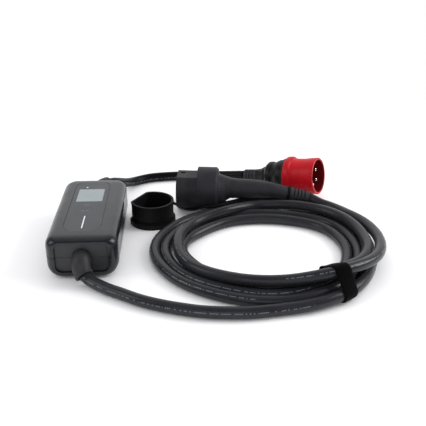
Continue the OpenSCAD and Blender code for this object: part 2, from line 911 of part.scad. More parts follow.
// Boot along its path, with a mouth round the cable at its far end
module boot(path, start, side, taper) {
    last = len(path) - 1;
    out = heading(path, last);
    difference() {
        union() {
            polyhedron(
                points = [for (i = [0:last])
                    let (r = boot_d / 2 * (1 - taper * i / last),
                         t = i == 0 ? start : heading(path, i))
                    each section_ring(path[i], t, r, r, 24, 0)],
                faces = skin_faces(last + 1, 24), convexity = 6);
            scale([1, side, 1]) boot_root();
        }
        translate(path[last] - out * boot_mouth_depth)
            rotate([0, acos(out[2]), atan2(out[1], out[0])])
                cylinder(r = boot_mouth_r, h = boot_mouth_depth + over);
    }
}

module front_boot() {
    color("#242526") boot(front_boot_path, [0, -1, 0], -1, 0.04);
}

module rear_boot() {
    color("#242526") boot(rear_boot_path, [0, 1, 0], 1, 0.12);
}

// Cables

module charge_cable_lead() {
    last = len(lead_path) - 1;
    color("#3d3e40")
        sweep_tube(lead_path, cable_r, cable_r, 10, front_boot_out,
                   [sin(-coil_start), cos(coil_start), 0]);
}

// The whole bundle of turns as one closed loop, with its two steps where a cable joins
module charge_cable_coil() {
    joint = 0.25;
    tail_phi = coil_end - 4 * 360;
    angles = concat(
        [-90, -82, -74], [for (k = [-3:3]) strap_angle + k * strap_half / 2],
        [-50, -44, -37.5, -30, -22.5, -15, -7.5, 0, 7.5, 15, 22.5, tail_phi,
         tail_phi + joint],
        [for (a = [40:10:260]) a], [270 - joint]
    );
    color("#3d3e40")
        polyhedron(points = [for (a = angles) each bundle_ring(a, 0, false)],
                   faces = loop_faces(len(angles), bundle_sides), convexity = 8);
}

module charge_cable_tail() {
    last = len(tail_path) - 1;
    phi = coil_end;
    color("#3d3e40")
        sweep_tube(tail_path, cable_r, cable_r, 10, [-sin(phi), cos(phi), 0],
                   connector_direction([-cos(relief_angle), 0, sin(relief_angle)]));
}

// Strap round the bundle, closed on itself
module cable_strap() {
    angles = [for (k = [-2:2]) strap_angle + k * strap_half / 2];
    color("#101010")
    difference() {
        polyhedron(points = [for (a = angles) each bundle_ring(a, strap_t + 0.4, true)],
                   faces = skin_faces(len(angles), bundle_sides), convexity = 6);
        polyhedron(points = [for (a = [angles[0] - 1, each angles, angles[4] + 1])
                             each bundle_ring(a, 0.4, true)],
                   faces = skin_faces(len(angles) + 2, bundle_sides), convexity = 6);
    }
}

// Vehicle connector, drawn with its mouth at the origin and its body along +X

module place_connector() {
    translate(connector_place)
        rotate([0, 0, connector_turn]) children();
}

// A direction of the connector's own frame, seen in the part's frame
function connector_direction(v) =
    [v[0] * cos(connector_turn) - v[1] * sin(connector_turn),
     v[0] * sin(connector_turn) + v[1] * cos(connector_turn), v[2]];

// Extrudes a drawing along the connector's axis, its +Y turned up
module along_connector(from, length) {
    translate([from, 0, 0])
        rotate([90, 0, 90]) linear_extrude(length) children();
}

module connector_skirt() {
    floor_t = 3.5;
    color("#2f3032")
    place_connector()
    difference() {
        union() {
            difference() {
                along_connector(0, skirt_l) d_disc(skirt_r, skirt_flat);
                along_connector(-over, skirt_l - floor_t + over)
                    d_disc(skirt_r - skirt_wall, skirt_flat - skirt_wall);
            }
            translate([skirt_l - 0.5, 0, 0])
                rotate([0, 90, 0]) cylinder(r = spigot_r, h = spigot_l + 0.5);
        }
        // Slot that the vehicle's locking pin enters
        translate([latch_slot_x, latch_slot_y - latch_slot_w / 2, skirt_flat - skirt_wall - over])
            cube([latch_slot_l, latch_slot_w, skirt_wall + 3 * over]);
        // Fine grooves for the fingers round the skirt
        for (i = [0:skirt_grooves - 1])
            along_connector(16 + i * skirt_groove_pitch, 1)
                difference() {
                    d_disc(skirt_r + over, skirt_flat + over);
                    d_disc(skirt_r - skirt_groove_depth, skirt_flat - skirt_groove_depth);
                }
        // Way for the conductors behind the carrier
        translate([skirt_l - floor_t - over, 0, 0])
            rotate([0, 90, 0]) cylinder(r = carrier_r - 4, h = spigot_l + floor_t + 3 * over);
    }
}

module contact_carrier() {
    depth = skirt_l - 3.5 - carrier_recess;
    color("#1d1e1f")
    place_connector()
    difference() {
        along_connector(carrier_recess, depth) d_disc(carrier_r, carrier_flat);
        for (spot = power_spots)
            translate([carrier_recess - over, spot[0], spot[1]])
                rotate([0, 90, 0])
                    cylinder(d = power_d + 2 * power_wall + 2 * fit_gap,
                             h = depth + 2 * over);
        for (spot = signal_spots)
            translate([carrier_recess - over, spot[0], spot[1]])
                rotate([0, 90, 0])
                    cylinder(d = signal_d + 2 * signal_wall + 2 * fit_gap,
                             h = depth + 2 * over);
    }
}

module contact_sleeve(bore, wall, spot) {
    translate([carrier_recess + contact_depth, spot[0], spot[1]])
        rotate([0, 90, 0])
            difference() {
                cylinder(d = bore + 2 * wall, h = contact_l);
                translate([0, 0, -over]) cylinder(d = bore, h = contact_l - 4 + over);
            }
}

module power_contacts() {
    color("#c9ccd0")
    place_connector()
        for (spot = power_spots) contact_sleeve(power_d, power_wall, spot);
}

module signal_contacts() {
    color("#c9ccd0")
    place_connector()
        for (spot = signal_spots) contact_sleeve(signal_d, signal_wall, spot);
}

// Flat seal at the bottom of the gap round the carrier
module mouth_seal() {
    seal_front = skirt_l - 3.5 - 2;
    color("#3c3d3f")
    place_connector()
    difference() {
        along_connector(seal_front, 2)
            d_disc(skirt_r - skirt_wall - clearance, skirt_flat - skirt_wall - clearance);
        along_connector(seal_front - over, 2 + 2 * over)
            d_disc(carrier_r + clearance, carrier_flat + clearance);
    }
}

module connector_collar() {
    front = skirt_l + clearance;
    color("#2b2c2e")
    place_connector()
    difference() {
        translate([front, 0, collar_lift])
            rotate([0, 90, 0])
                rotate_extrude()
                    polygon([
                        [0, 0], [collar_r - 1, 0], [collar_r, 1],
                        [collar_r, collar_l - collar_chamfer],
                        [collar_r - collar_chamfer, collar_l], [0, collar_l]
                    ]);
        translate([front - over, 0, 0])
            rotate([0, 90, 0]) cylinder(r = spigot_r + fit_gap, h = collar_l + 2 * over);
    }
}

// Whole grip before it is split: its neck ring inside the collar and its curved handle
module grip_outside() {
    ring_x = skirt_l + spigot_l + clearance;
    loft(grip_stations, 0, 28, [1, 0, 0], relief_axis);
    translate([ring_x, 0, 0])
        rotate([0, 90, 0]) cylinder(r = spigot_r, h = collar_end + 0.6 - ring_x);
}

module grip_inside() {
    ring_x = skirt_l + spigot_l;
    hollow = [for (i = [0:len(grip_stations) - 2]) grip_stations[i]];
    loft(hollow, grip_wall, 14, [1, 0, 0], relief_axis);
    translate([ring_x - over, 0, 0])
        rotate([0, 90, 0])
            cylinder(r = spigot_r - grip_wall, h = collar_end + 0.4 + over - ring_x);
}

module grip_half(side) {
    place_connector()
    difference() {
        intersection() {
            union() {
                difference() {
                    grip_outside();
                    grip_inside();
                }
                intersection() {
                    loft(grip_stations, grip_wall / 2, 14, [1, 0, 0], relief_axis);
                    for (spot = grip_screw_spots)
                        translate([spot[0], 0, spot[1]])
                            rotate([90, 0, 0])
                                cylinder(r = grip_boss_r, h = 2 * collar_r, center = true);
                }
            }
            translate([0, side > 0 ? 0 : -collar_r, -2 * collar_r])
                cube([grip_reach, collar_r, 4 * collar_r]);
        }
        for (spot = grip_screw_spots)
            translate([spot[0], 0, spot[1]]) {
                rotate([90, 0, 0])
                    cylinder(d = grip_screw_d + 2 * fit_gap, h = 18, center = true);
                translate([0, grip_screw_sink + 3, 0])
                    rotate([-90, 0, 0])
                        cylinder(d = grip_screw_head_d + 2 * clearance, h = 20);
            }
    }
}

module grip_left() {
    color("#2b2c2e") grip_half(-1);
}

module grip_right() {
    color("#2b2c2e") grip_half(1);
}

module grip_screws() {
    head_y = grip_screw_sink + 3 + fit_gap;
    color("#8d8f92")
    place_connector()
    for (spot = grip_screw_spots)
        translate([spot[0], 0, spot[1]])
            rotate([-90, 0, 0])
                difference() {
                    union() {
                        translate([0, 0, -8.5]) cylinder(d = grip_screw_d, h = head_y + 9);
                        translate([0, 0, head_y])
                            cylinder(d = grip_screw_head_d, h = grip_screw_head_h);
                    }
                    translate([0, 0, head_y + grip_screw_head_h - 1.2])
                        cylinder(d = 2.4, h = 3, $fn = 6);
                }
}

module connector_relief() {
    slot_pitch = relief_l / (relief_slots + 1.5);
    color("#262729")
    place_connector()
    translate([relief_x, 0, relief_z])
        rotate([0, 90 + relief_angle, 0])
            difference() {
                union() {
                    cylinder(r1 = relief_r, r2 = relief_end_r, h = relief_l);
                    translate([0, 0, -relief_neck_l])
                        cylinder(r = relief_neck_r, h = relief_neck_l + over);
                }
                for (i = [1:relief_slots])
                    translate([0, 0, i * slot_pitch])
                        difference() {
                            cylinder(r = relief_r + over, h = relief_slot_w);
                            translate([0, 0, -over])
                                cylinder(r = relief_slot_r, h = relief_slot_w + 2 * over);
                            translate([-relief_slot_w, -relief_r - over, -over])
                                cube([2 * relief_slot_w, 2 * relief_r + 2 * over,
                                      relief_slot_w + 2 * over]);
                        }
            }
}

// Dust cap, standing on its closed end with its mouth up

module dust_cap() {
    color("#141414")
    translate(cap_place)
        rotate([0, 0, cap_turn - 90])
            difference() {
                union() {
                    linear_extrude(cap_h - cap_lip_h) d_disc(cap_r - 0.8, cap_flat - 0.8);
                    translate([0, 0, cap_h - cap_lip_h])
                        linear_extrude(cap_lip_h) d_disc(cap_r, cap_flat);
                    linear_extrude(cap_base_h) d_disc(cap_base_r, cap_flat + 2);
                    translate([0, 0, cap_base_h])
                        linear_extrude(2) d_disc(cap_base_r - 1.2, cap_flat + 1);
                }
                translate([0, 0, cap_floor])
                    linear_extrude(cap_h) d_disc(cap_r - cap_wall, cap_flat - cap_wall);
                for (z = [cap_floor + 4:cap_rib_gap:cap_h - 5])
                    translate([0, 0, z])
                        linear_extrude(cap_rib_gap - cap_rib_h - 1)
                            d_disc(cap_r - cap_wall + 1, cap_flat - cap_wall + 1);
            }
}

module cap_tether() {
    color("#171717") {
        sweep_tube(tether_path, tether_w / 2, tether_t / 2, 8, [1, 0, 0],
                   connector_direction([1, 0, 0]), 22.5);
        place_connector()
            translate([relief_x, 0, relief_z])
                rotate([0, 90 + relief_angle, 0])
                    translate([0, 0, -relief_neck_l + clearance])
                        difference() {
                            cylinder(r = tether_ring_r + tether_ring_w, h = tether_ring_l);
                            translate([0, 0, -over])
                                cylinder(r = tether_ring_r, h = tether_ring_l + 2 * over);
                        }
    }
}

// Industrial plug, drawn with its mouth at the origin and its body along -X

module place_plug() {
    translate(plug_place)
        rotate([0, -plug_lift, plug_turn]) children();
}

// Turns a profile of [depth behind the mouth, radius] round the plug's axis
module plug_turning(profile) {
    rotate([0, -90, 0])
        rotate_extrude() polygon([for (p = profile) [p[1], p[0]]]);
}

// Places children on the pin circle at one step from the earth pin
module at_pin(step) {
    rotate([plug_roll + step * pin_step, 0, 0])
        translate([0, 0, pin_circle_r]) children();
}

module plug_shroud() {
    waist_r = shroud_r - 1.4;
    back = flange_x + flange_l;
    color("#c4232b")
    place_plug()
    difference() {
        plug_turning([
            [0, shroud_bore_r], [0, shroud_r - 0.6], [0.6, shroud_r], [7, shroud_r],
            [14, shroud_r - 0.5], [22, waist_r], [36, waist_r], [flange_x - 2, waist_r + 0.6],
            [flange_x, flange_r - 0.8], [flange_x + 1, flange_r],
            [back - 1.5, flange_r], [back, flange_r - 1.5], [back, sleeve_r + 2],
            [shroud_depth + carrier_t + clearance, sleeve_r + 2],
            [shroud_depth + carrier_t + clearance, shroud_bore_r]
        ]);
        // Keyway beside the earth pin
        rotate([plug_roll, 0, 0])
            translate([-shroud_depth, -3.5, shroud_bore_r - 1])
                cube([shroud_depth + over, 7, 2.4]);
    }
}

module pin_carrier() {
    color("#8f1a20")
    place_plug()
    difference() {
        union() {
            plug_turning([
                [shroud_depth, 0], [shroud_depth, shroud_bore_r - clearance],
                [shroud_depth + carrier_t, shroud_bore_r - clearance],
                [shroud_depth + carrier_t, 0]
            ]);
            plug_turning([
                [shroud_depth + carrier_t - 0.5, 0], [shroud_depth + carrier_t - 0.5, sleeve_r],
                [seal_x + seal_l, sleeve_r], [seal_x + seal_l, 0]
            ]);
        }
        for (step = [1:4])
            at_pin(step) translate([over - shroud_depth, 0, 0])
                rotate([0, -90, 0])
                    cylinder(d = line_pin_d - pin_root_step + 2 * fit_gap, h = pin_root + over + fit_gap);
        at_pin(0) translate([over - shroud_depth, 0, 0])
            rotate([0, -90, 0])
                cylinder(d = earth_pin_d - pin_root_step + 2 * fit_gap, h = pin_root + over + fit_gap);
    }
}

module contact_pin(d) {
    length = shroud_depth - pin_recess + pin_root;
    free = shroud_depth - pin_recess - pin_neck_gap;
    translate([-pin_recess, 0, 0])
        rotate([0, -90, 0])
            rotate_extrude()
                polygon([[0, 0], [d / 2 - 1, 0], [d / 2, 1], [d / 2, free],
                         [(d - pin_root_step) / 2, free], [(d - pin_root_step) / 2, length],
                         [0, length]]);
}

module line_pins() {
    color("#d4d6d8")
    place_plug()
        for (step = [1:4]) at_pin(step) contact_pin(line_pin_d);
}

module earth_pin() {
    color("#d4d6d8")
    place_plug()
        at_pin(0) contact_pin(earth_pin_d);
}

module plug_seal() {
    color("#3a423e")
    place_plug()
        plug_turning([
            [seal_x, sleeve_r + clearance], [seal_x, flange_r - 2.2],
            [seal_x + seal_l, flange_r - 3.4], [seal_x + seal_l, sleeve_r + clearance]
        ]);
}

// Rear body with two raised bands that a hand turns
module plug_rear_body() {
    wall = 3;
    color("#26282a")
    place_plug()
        plug_turning([
            [body_x, sleeve_r - wall], [body_x, 27.5], [body_x + 2, 28], [body_x + 9, 27.2],
            [body_x + 14, 25], [body_x + 17, 23.6], [body_x + 20, 23.4], [body_x + 23, 24.6],
            [body_x + 29, 24.4], [body_x + 33, 21], [body_x + body_l, 17.5],
            [body_x + body_l, 10], [body_x + body_l - wall, 10],
            [body_x + 20, sleeve_r - wall]
        ]);
}

module plug_clamp_nut() {
    color("#2a2c2e")
    place_plug()
    difference() {
        plug_turning([
            [nut_x, 0], [nut_x, 16.5], [nut_x + 4, 15.6], [nut_x + 9, 13],
            [nut_x + 14, 11.6], [nut_x + nut_l, 11], [nut_x + nut_l, 0]
        ]);
        for (i = [0:7])
            rotate([i * 45, 0, 0])
                translate([-nut_x - 9, 0, 17])
                    rotate([0, 90, 0]) cylinder(r = 2.6, h = 12, $fn = 16);
    }
}

// Chequered bend relief: rings that are cut by lengthwise channels
module plug_relief() {
    bands = 4;
    pitch = plug_relief_l / bands;
    color("#242628")
    place_plug()
    difference() {
        plug_turning([
            [plug_relief_x, 0], [plug_relief_x, plug_relief_r + 0.4],
            [plug_relief_x + plug_relief_l, plug_relief_r],
            [plug_relief_x + plug_relief_l, 0]
        ]);
        for (i = [1:bands - 1])
            plug_turning([
                [plug_relief_x + i * pitch - 0.9, plug_relief_r - 1.6],
                [plug_relief_x + i * pitch - 0.9, plug_relief_r + over],
                [plug_relief_x + i * pitch + 0.9, plug_relief_r + over],
                [plug_relief_x + i * pitch + 0.9, plug_relief_r - 1.6]
            ]);
    }
}

module supply_cable() {
    last = len(supply_path) - 1;
    color("#3d3e40")
        sweep_tube(supply_path, cable_r, cable_r, 10, rear_boot_out,
                   plug_axis);
}

lower_case();
upper_case();
case_seal();
front_end_plate();
rear_end_plate();
case_screws();
feet();
fascia_panel();
display_window();
status_led();
light_bar();
display_module();
key_board();
main_board();
board_screws();
relays();
current_sensor();
supply_module();
front_terminals();
rear_terminals();
front_cord_clamp();
rear_cord_clamp();
front_boot();
rear_boot();
charge_cable_lead();
charge_cable_coil();
charge_cable_tail();
cable_strap();
connector_skirt();
contact_carrier();
power_contacts();
signal_contacts();
mouth_seal();
connector_collar();
grip_left();
grip_right();
grip_screws();
connector_relief();
dust_cap();
cap_tether();
plug_shroud();
pin_carrier();
line_pins();
earth_pin();
plug_seal();
plug_rear_body();
plug_clamp_nut();
plug_relief();
supply_cable();
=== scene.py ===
import json
import math

import bmesh
import bpy
from mathutils import Matrix, Vector, noise


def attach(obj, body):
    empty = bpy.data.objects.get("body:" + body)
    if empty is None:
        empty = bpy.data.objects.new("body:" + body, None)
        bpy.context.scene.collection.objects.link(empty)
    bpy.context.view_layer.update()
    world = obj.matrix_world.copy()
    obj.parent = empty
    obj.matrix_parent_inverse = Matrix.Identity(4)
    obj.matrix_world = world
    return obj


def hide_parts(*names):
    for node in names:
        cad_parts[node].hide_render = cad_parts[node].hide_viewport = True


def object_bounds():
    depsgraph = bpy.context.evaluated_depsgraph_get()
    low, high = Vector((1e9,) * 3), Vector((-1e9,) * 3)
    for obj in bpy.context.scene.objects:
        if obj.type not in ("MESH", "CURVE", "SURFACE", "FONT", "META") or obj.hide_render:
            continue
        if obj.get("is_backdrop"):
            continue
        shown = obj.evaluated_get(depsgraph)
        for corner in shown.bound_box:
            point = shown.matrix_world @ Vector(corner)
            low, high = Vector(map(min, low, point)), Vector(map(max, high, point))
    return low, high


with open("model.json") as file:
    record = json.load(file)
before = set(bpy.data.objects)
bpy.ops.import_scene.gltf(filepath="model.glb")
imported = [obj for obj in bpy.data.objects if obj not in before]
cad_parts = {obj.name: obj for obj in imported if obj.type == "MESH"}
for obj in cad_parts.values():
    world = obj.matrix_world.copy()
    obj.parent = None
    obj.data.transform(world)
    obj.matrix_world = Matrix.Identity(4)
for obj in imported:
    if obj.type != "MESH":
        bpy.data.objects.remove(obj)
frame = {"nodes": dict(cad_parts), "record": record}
SIZE_AT_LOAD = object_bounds()
NODES = frame["nodes"]
MM = 0.001  # routes and sections are written in millimetres, meshes are in metres


def rad(d):
    return math.radians(d)


# ---------------------------------------------------------------- camera
# Fitted to the photo's perspective; the focal length is in the photo's own pixels.
PHOTO_PX, FOCAL_PX, SENSOR = 426.0, 680.0, 36.0
LOOK_DOWN, TURN_RIGHT = 24.7, 2.923

cam_data = bpy.data.cameras.new("camera")
cam = bpy.data.objects.new("camera", cam_data)
bpy.context.scene.collection.objects.link(cam)
cam.location = (0.1357, -0.9201, 0.469)
cam.rotation_euler = (rad(90 - LOOK_DOWN), 0.0, rad(-TURN_RIGHT))
cam_data.sensor_width = SENSOR
cam_data.lens = SENSOR * FOCAL_PX / PHOTO_PX
cam_data.clip_end = 60.0
bpy.context.scene.camera = cam
bpy.context.scene.view_settings.view_transform = "Standard"


# ---------------------------------------------------------------- mesh helpers
def new_object(name, verts, faces, uvs=None, smooth=True):
    """An object of vertices in metres, faces and, if given, one UV for each face corner."""
    mesh = bpy.data.meshes.new(name)
    mesh.from_pydata([tuple(v) for v in verts], [], faces)
    if uvs is not None:
        layer = mesh.uv_layers.new(name="UVMap")
        for loop, uv in zip(layer.data, uvs):
            loop.uv = uv
    mesh.validate()
    mesh.update()
    if smooth:
        mesh.polygons.foreach_set("use_smooth", [True] * len(mesh.polygons))
    obj = bpy.data.objects.new(name, mesh)
    bpy.context.scene.collection.objects.link(obj)
    return obj


def catmull(points, steps):
    """Smooth list through points, each a tuple of any length."""
    out = []
    n = len(points)
    for i in range(n - 1):
        p0 = points[max(i - 1, 0)]
        p1, p2 = points[i], points[i + 1]
        p3 = points[min(i + 2, n - 1)]
        for k in range(steps):
            t = k / steps
            out.append(tuple(
                0.5 * (2 * b + (c - a) * t + (2 * a - 5 * b + 4 * c - d) * t * t
                       + (3 * b - a - 3 * c + d) * t ** 3)
                for a, b, c, d in zip(p0, p1, p2, p3)))
    out.append(tuple(points[-1]))
    return out


def line_length(points):
    return sum((b - a).length for a, b in zip(points, points[1:]))


def resample(points, step):
    """Evenly spaced points along a line of vectors."""
    total = line_length(points)
    count = max(2, int(round(total / step)))
    out, need, walked = [points[0].copy()], total / count, 0.0
    target = need
    for a, b in zip(points, points[1:]):
        seg = (b - a).length
        while target <= walked + seg + 1e-9 and len(out) < count:
            out.append(a.lerp(b, (target - walked) / seg))
            target += need
        walked += seg
    out.append(points[-1].copy())
    return out


def frames_along(path):
    """Tangent, left side and upper side at each point, with the upper side kept up."""
    out = []
    for i in range(len(path)):
        t = (path[min(i + 1, len(path) - 1)] - path[max(i - 1, 0)]).normalized()
        s = Vector((0, 0, 1)).cross(t)
        s = s.normalized() if s.length > 1e-4 else Vector((1, 0, 0))
        out.append((t, s, t.cross(s)))
    return out


def skin(rings, n):
    """Faces over rings of n points each, one ring after another, with both ends closed."""
    faces = [(i * n + k, i * n + (k + 1) % n, (i + 1) * n + (k + 1) % n, (i + 1) * n + k)
             for i in range(rings - 1) for k in range(n)]
    return faces + [tuple(range(n))[::-1], tuple((rings - 1) * n + k for k in range(n))]


def swept(name, path, section):
    """Sweeps a section, as sideways and upward distances, along a path. Returns the piece
    and the path's length. Its UVs are metres along the path and the share of the way round."""
    lengths = [0.0]
    for a, b in zip(path, path[1:]):
        lengths.append(lengths[-1] + (b - a).length)
    verts = [p + s * a + u * b for p, (_, s, u) in zip(path, frames_along(path))
             for a, b in section]
    n = len(section)
    uvs = []
    for near, far in zip(lengths, lengths[1:]):
        for k in range(n):
            v0, v1 = k / n, (k + 1) / n
            uvs += [(near, v0), (near, v1), (far, v1), (far, v0)]
    uvs += [(0, 0)] * n + [(lengths[-1], 0)] * n
    return new_object(name, verts, skin(len(path), n), uvs), lengths[-1]


def circle(r, n):
    return [(r * math.cos(2 * math.pi * k / n), r * math.sin(2 * math.pi * k / n))
            for k in range(n)]


def lathe(name, profile, segments, place):
    """Turns a profile of (x, r) round the x axis, then places it with a matrix."""
    verts, faces = [], []
    n = len(profile)
    for k in range(segments):
        w = 2 * math.pi * k / segments
        for x, r in profile:
            verts.append(place @ Vector((x, r * math.cos(w), r * math.sin(w))))
    for k in range(segments):
        j = (k + 1) % segments
        for i in range(n - 1):
            faces.append((k * n + i, k * n + i + 1, j * n + i + 1, j * n + i))
    return new_object(name, verts, faces)


def closed_sheet(name, verts, rows, cols, front, wraps):
    """A solid between two layers of rows x cols points, layer 0 listed first. On layer
    front a step along the row and one to the next row turn anticlockwise, as seen from
    outside. In a sheet that wraps each row goes on from its last point to its first."""
    size = rows * cols
    p, q = front * size, (1 - front) * size
    faces = []
    for i in range(rows - 1):
        for k in range(cols if wraps else cols - 1):
            a, b = i * cols + k, i * cols + (k + 1) % cols
            c, d = b + cols, a + cols
            faces += [(p + a, p + b, p + c, p + d), (q + a, q + d, q + c, q + b)]
    # the edges along the first and last row, and along the first and last column
    edges, last = [], (rows - 1) * cols
    for k in range(cols if wraps else cols - 1):
        j = (k + 1) % cols
        edges += [(j, k), (last + k, last + j)]
    if not wraps:
        for i in range(rows - 1):
            a, b = i * cols, (i + 1) * cols
            edges += [(a, b), (b + cols - 1, a + cols - 1)]
    faces += [(p + a, p + b, q + b, q + a) for a, b in edges]
    return new_object(name, verts, faces)


# ---------------------------------------------------------------- materials
def nodes_of(mat):
    """Nodes and links of a material; a new one has a Principled shader."""
    mat.use_nodes = True
    return mat.node_tree.nodes, mat.node_tree.links


def ramp_between(nodes, links, source, low, high, dark=0.0, light=1.0):
    """Maps low..high of a source to dark..light, and holds both beyond."""
    r = nodes.new("ShaderNodeMapRange")
    r.inputs["From Min"].default_value = low
    r.inputs["From Max"].default_value = high
    r.inputs["To Min"].default_value = dark
    r.inputs["To Max"].default_value = light
    links.new(source, r.inputs["Value"])
    return r.outputs["Result"]


def math_node(nodes, links, op, a, b=None):
    """A math node on sockets or numbers. Returns its output."""
    m = nodes.new("ShaderNodeMath")
    m.operation = op
    for i, v in enumerate((a, b)):
        if v is None:
            continue
        if isinstance(v, (int, float)):
            m.inputs[i].default_value = v
        else:
            links.new(v, m.inputs[i])
    return m.outputs[0]


def vector_node(nodes, links, op, source, value=None):
    """A vector math node on a socket and, if given, a fixed vector. Returns the node."""
    n = nodes.new("ShaderNodeVectorMath")
    n.operation = op
    links.new(source, n.inputs[0])
    if value is not None:
        n.inputs[1].default_value = tuple(value)
    return n


def bump_node(nodes, links, height, strength, distance):
    b = nodes.new("ShaderNodeBump")
    b.inputs["Strength"].default_value = strength
    b.inputs["Distance"].default_value = distance
    links.new(height, b.inputs["Height"])
    return b


def any_ray(nodes, links, path, *kinds):
    """1 for a ray of any of these kinds, and 0 for the others."""
    fac = path.outputs[f"Is {kinds[0]} Ray"]
    for kind in kinds[1:]:
        fac = math_node(nodes, links, "MAXIMUM", fac, path.outputs[f"Is {kind} Ray"])
    return fac


SLOW_SCALE, SLOW_DETAIL = 38.0, 5.0  # the noise that changes tone and gloss
FINE_DETAIL = 3.0                    # the noise of the grain


def moulded(name, color, rough, grain=2500.0, bump=0.12, mottle=0.12, rough_var=0.06,
            specular=0.5, coat=0.0, coat_rough=0.2, depth=0.00002, metal=0.0, sheen=0.0):
    """Plastic, rubber or metal: fine grain in the bump, slow change of tone and gloss."""
    mat = bpy.data.materials.new(name)
    nodes, links = nodes_of(mat)
    shader = nodes["Principled BSDF"]
    shader.inputs["Metallic"].default_value = metal
    shader.inputs["Specular IOR Level"].default_value = specular
    shader.inputs["Coat Weight"].default_value = coat
    shader.inputs["Coat Roughness"].default_value = coat_rough
    shader.inputs["Sheen Weight"].default_value = sheen
    coord = nodes.new("ShaderNodeTexCoord")

    def noise_of(scale, detail):
        n = nodes.new("ShaderNodeTexNoise")
        n.inputs["Scale"].default_value = scale
        n.inputs["Detail"].default_value = detail
        links.new(coord.outputs["Object"], n.inputs["Vector"])
        return n.outputs["Fac"]

    slow = noise_of(SLOW_SCALE, SLOW_DETAIL)
    fine = noise_of(grain, FINE_DETAIL)
    tone = nodes.new("ShaderNodeMixRGB")
    tone.inputs["Color1"].default_value = tuple(c * (1 - mottle) for c in color) + (1,)
    tone.inputs["Color2"].default_value = tuple(c * (1 + mottle) for c in color) + (1,)
    links.new(ramp_between(nodes, links, slow, 0.35, 0.65), tone.inputs["Fac"])
    links.new(tone.outputs["Color"], shader.inputs["Base Color"])
    links.new(ramp_between(nodes, links, slow, 0.3, 0.7, rough - rough_var, rough + rough_var),
              shader.inputs["Roughness"])
    relief = bump_node(nodes, links, fine, bump, depth)
    links.new(relief.outputs["Normal"], shader.inputs["Normal"])
    return mat


def tinted(mat, fac, tone, where):
    """Gives a material's colour a plain tone where the factor is 1, or where it is 0."""
    nodes, links = nodes_of(mat)
    shader = nodes["Principled BSDF"]
    mix = nodes.new("ShaderNodeMixRGB")
    links.new(fac, mix.inputs["Fac"])
    old, new = ("Color1", "Color2") if where == 1 else ("Color2", "Color1")
    links.new(shader.inputs["Base Color"].links[0].from_socket, mix.inputs[old])
    mix.inputs[new].default_value = tone + (1,)
    links.new(mix.outputs["Color"], shader.inputs["Base Color"])
    return mat


# The printed line of a cable: pitches in metres along it, heights in shares of its round
DASH_PITCH, DASH_SHARE, DASHES_LEFT_OUT = 0.0024, 0.72, 0.2
WORD_PITCH, WIDEST_GAP = 0.0145, 0.3
GROUP_PITCH, GROUP_SHARE = 0.46, 0.7
LINE_HALF, LINE_SWAY, SWAY_RATE = 0.013, 0.018, 7.0
LINE_START, START_HOLDS, START_FADES = 0.07, 0.30, 0.5
PRINT_TONE, PRINT_STRENGTH = (0.16, 0.185, 0.22), 0.85


def cable_sheath(name, color, rough, print_at=0.36, phase=0.0, specular=0.3):
    """Rubber sheath with a printed line of pale dashes in place of words."""
    mat = moulded(name, color, rough, grain=1800.0, bump=0.25, mottle=0.1, rough_var=0.05,
                  specular=specular)
    nodes, links = nodes_of(mat)
    uv = nodes.new("ShaderNodeUVMap")
    uv.uv_map = "UVMap"
    split = nodes.new("ShaderNodeSeparateXYZ")
    links.new(uv.outputs["UV"], split.inputs["Vector"])
    u, v = split.outputs["X"], split.outputs["Y"]

    def m(op, a, b=None):
        return math_node(nodes, links, op, a, b)

    def place_in(pitch):
        """Share of the way through the cell of that length."""
        return m("FRACT", m("DIVIDE", u, pitch))

    def chance(pitch):
        """A random number for each cell of that length."""
        white = nodes.new("ShaderNodeTexWhiteNoise")
        white.noise_dimensions = "1D"
        links.new(m("FLOOR", m("DIVIDE", u, pitch)), white.inputs["W"])
        return white.outputs["Value"]

    # dashes with some left out, in words with gaps of changing length, in groups
    mark = m("MULTIPLY", m("GREATER_THAN", chance(DASH_PITCH), DASHES_LEFT_OUT),
             m("LESS_THAN", place_in(DASH_PITCH), DASH_SHARE))
    word = m("GREATER_THAN", place_in(WORD_PITCH),
             m("MULTIPLY", chance(WORD_PITCH), WIDEST_GAP))
    group = m("LESS_THAN", m("FRACT", m("ADD", m("DIVIDE", u, GROUP_PITCH), phase)),
              GROUP_SHARE)
    # the line sways round the cable, and starts further round where it leaves the boot
    drift = m("ADD", m("MULTIPLY", m("SINE", m("MULTIPLY", u, SWAY_RATE)), LINE_SWAY),
              ramp_between(nodes, links, u, START_HOLDS, START_FADES, LINE_START, 0.0))
    line_at = m("ADD", drift, print_at)
    near = m("LESS_THAN", m("ABSOLUTE", m("SUBTRACT", v, line_at)), LINE_HALF)
    mask = m("MULTIPLY", m("MULTIPLY", mark, word), m("MULTIPLY", group, near))
    return tinted(mat, m("MULTIPLY", mask, PRINT_STRENGTH), PRINT_TONE, where=1)


def textile(name, color):
    """Hook-and-loop tape: tangled fibres with a soft sheen."""
    mat = moulded(name, color, 0.92, grain=900.0, bump=0.9, mottle=0.35, depth=0.0004,
                  specular=0.06, sheen=0.03)
    nodes, links = nodes_of(mat)
    normal = nodes["Principled BSDF"].inputs["Normal"]
    coord = nodes.new("ShaderNodeTexCoord")
    cells = nodes.new("ShaderNodeTexVoronoi")
    cells.inputs["Scale"].default_value = 900.0
    links.new(coord.outputs["Object"], cells.inputs["Vector"])
    tufts = bump_node(nodes, links, cells.outputs["Distance"], 0.7, 0.0005)
    links.new(normal.links[0].from_socket, tufts.inputs["Normal"])
    links.new(tufts.outputs["Normal"], normal)
    return mat


RECESS_BLEND = 0.0004


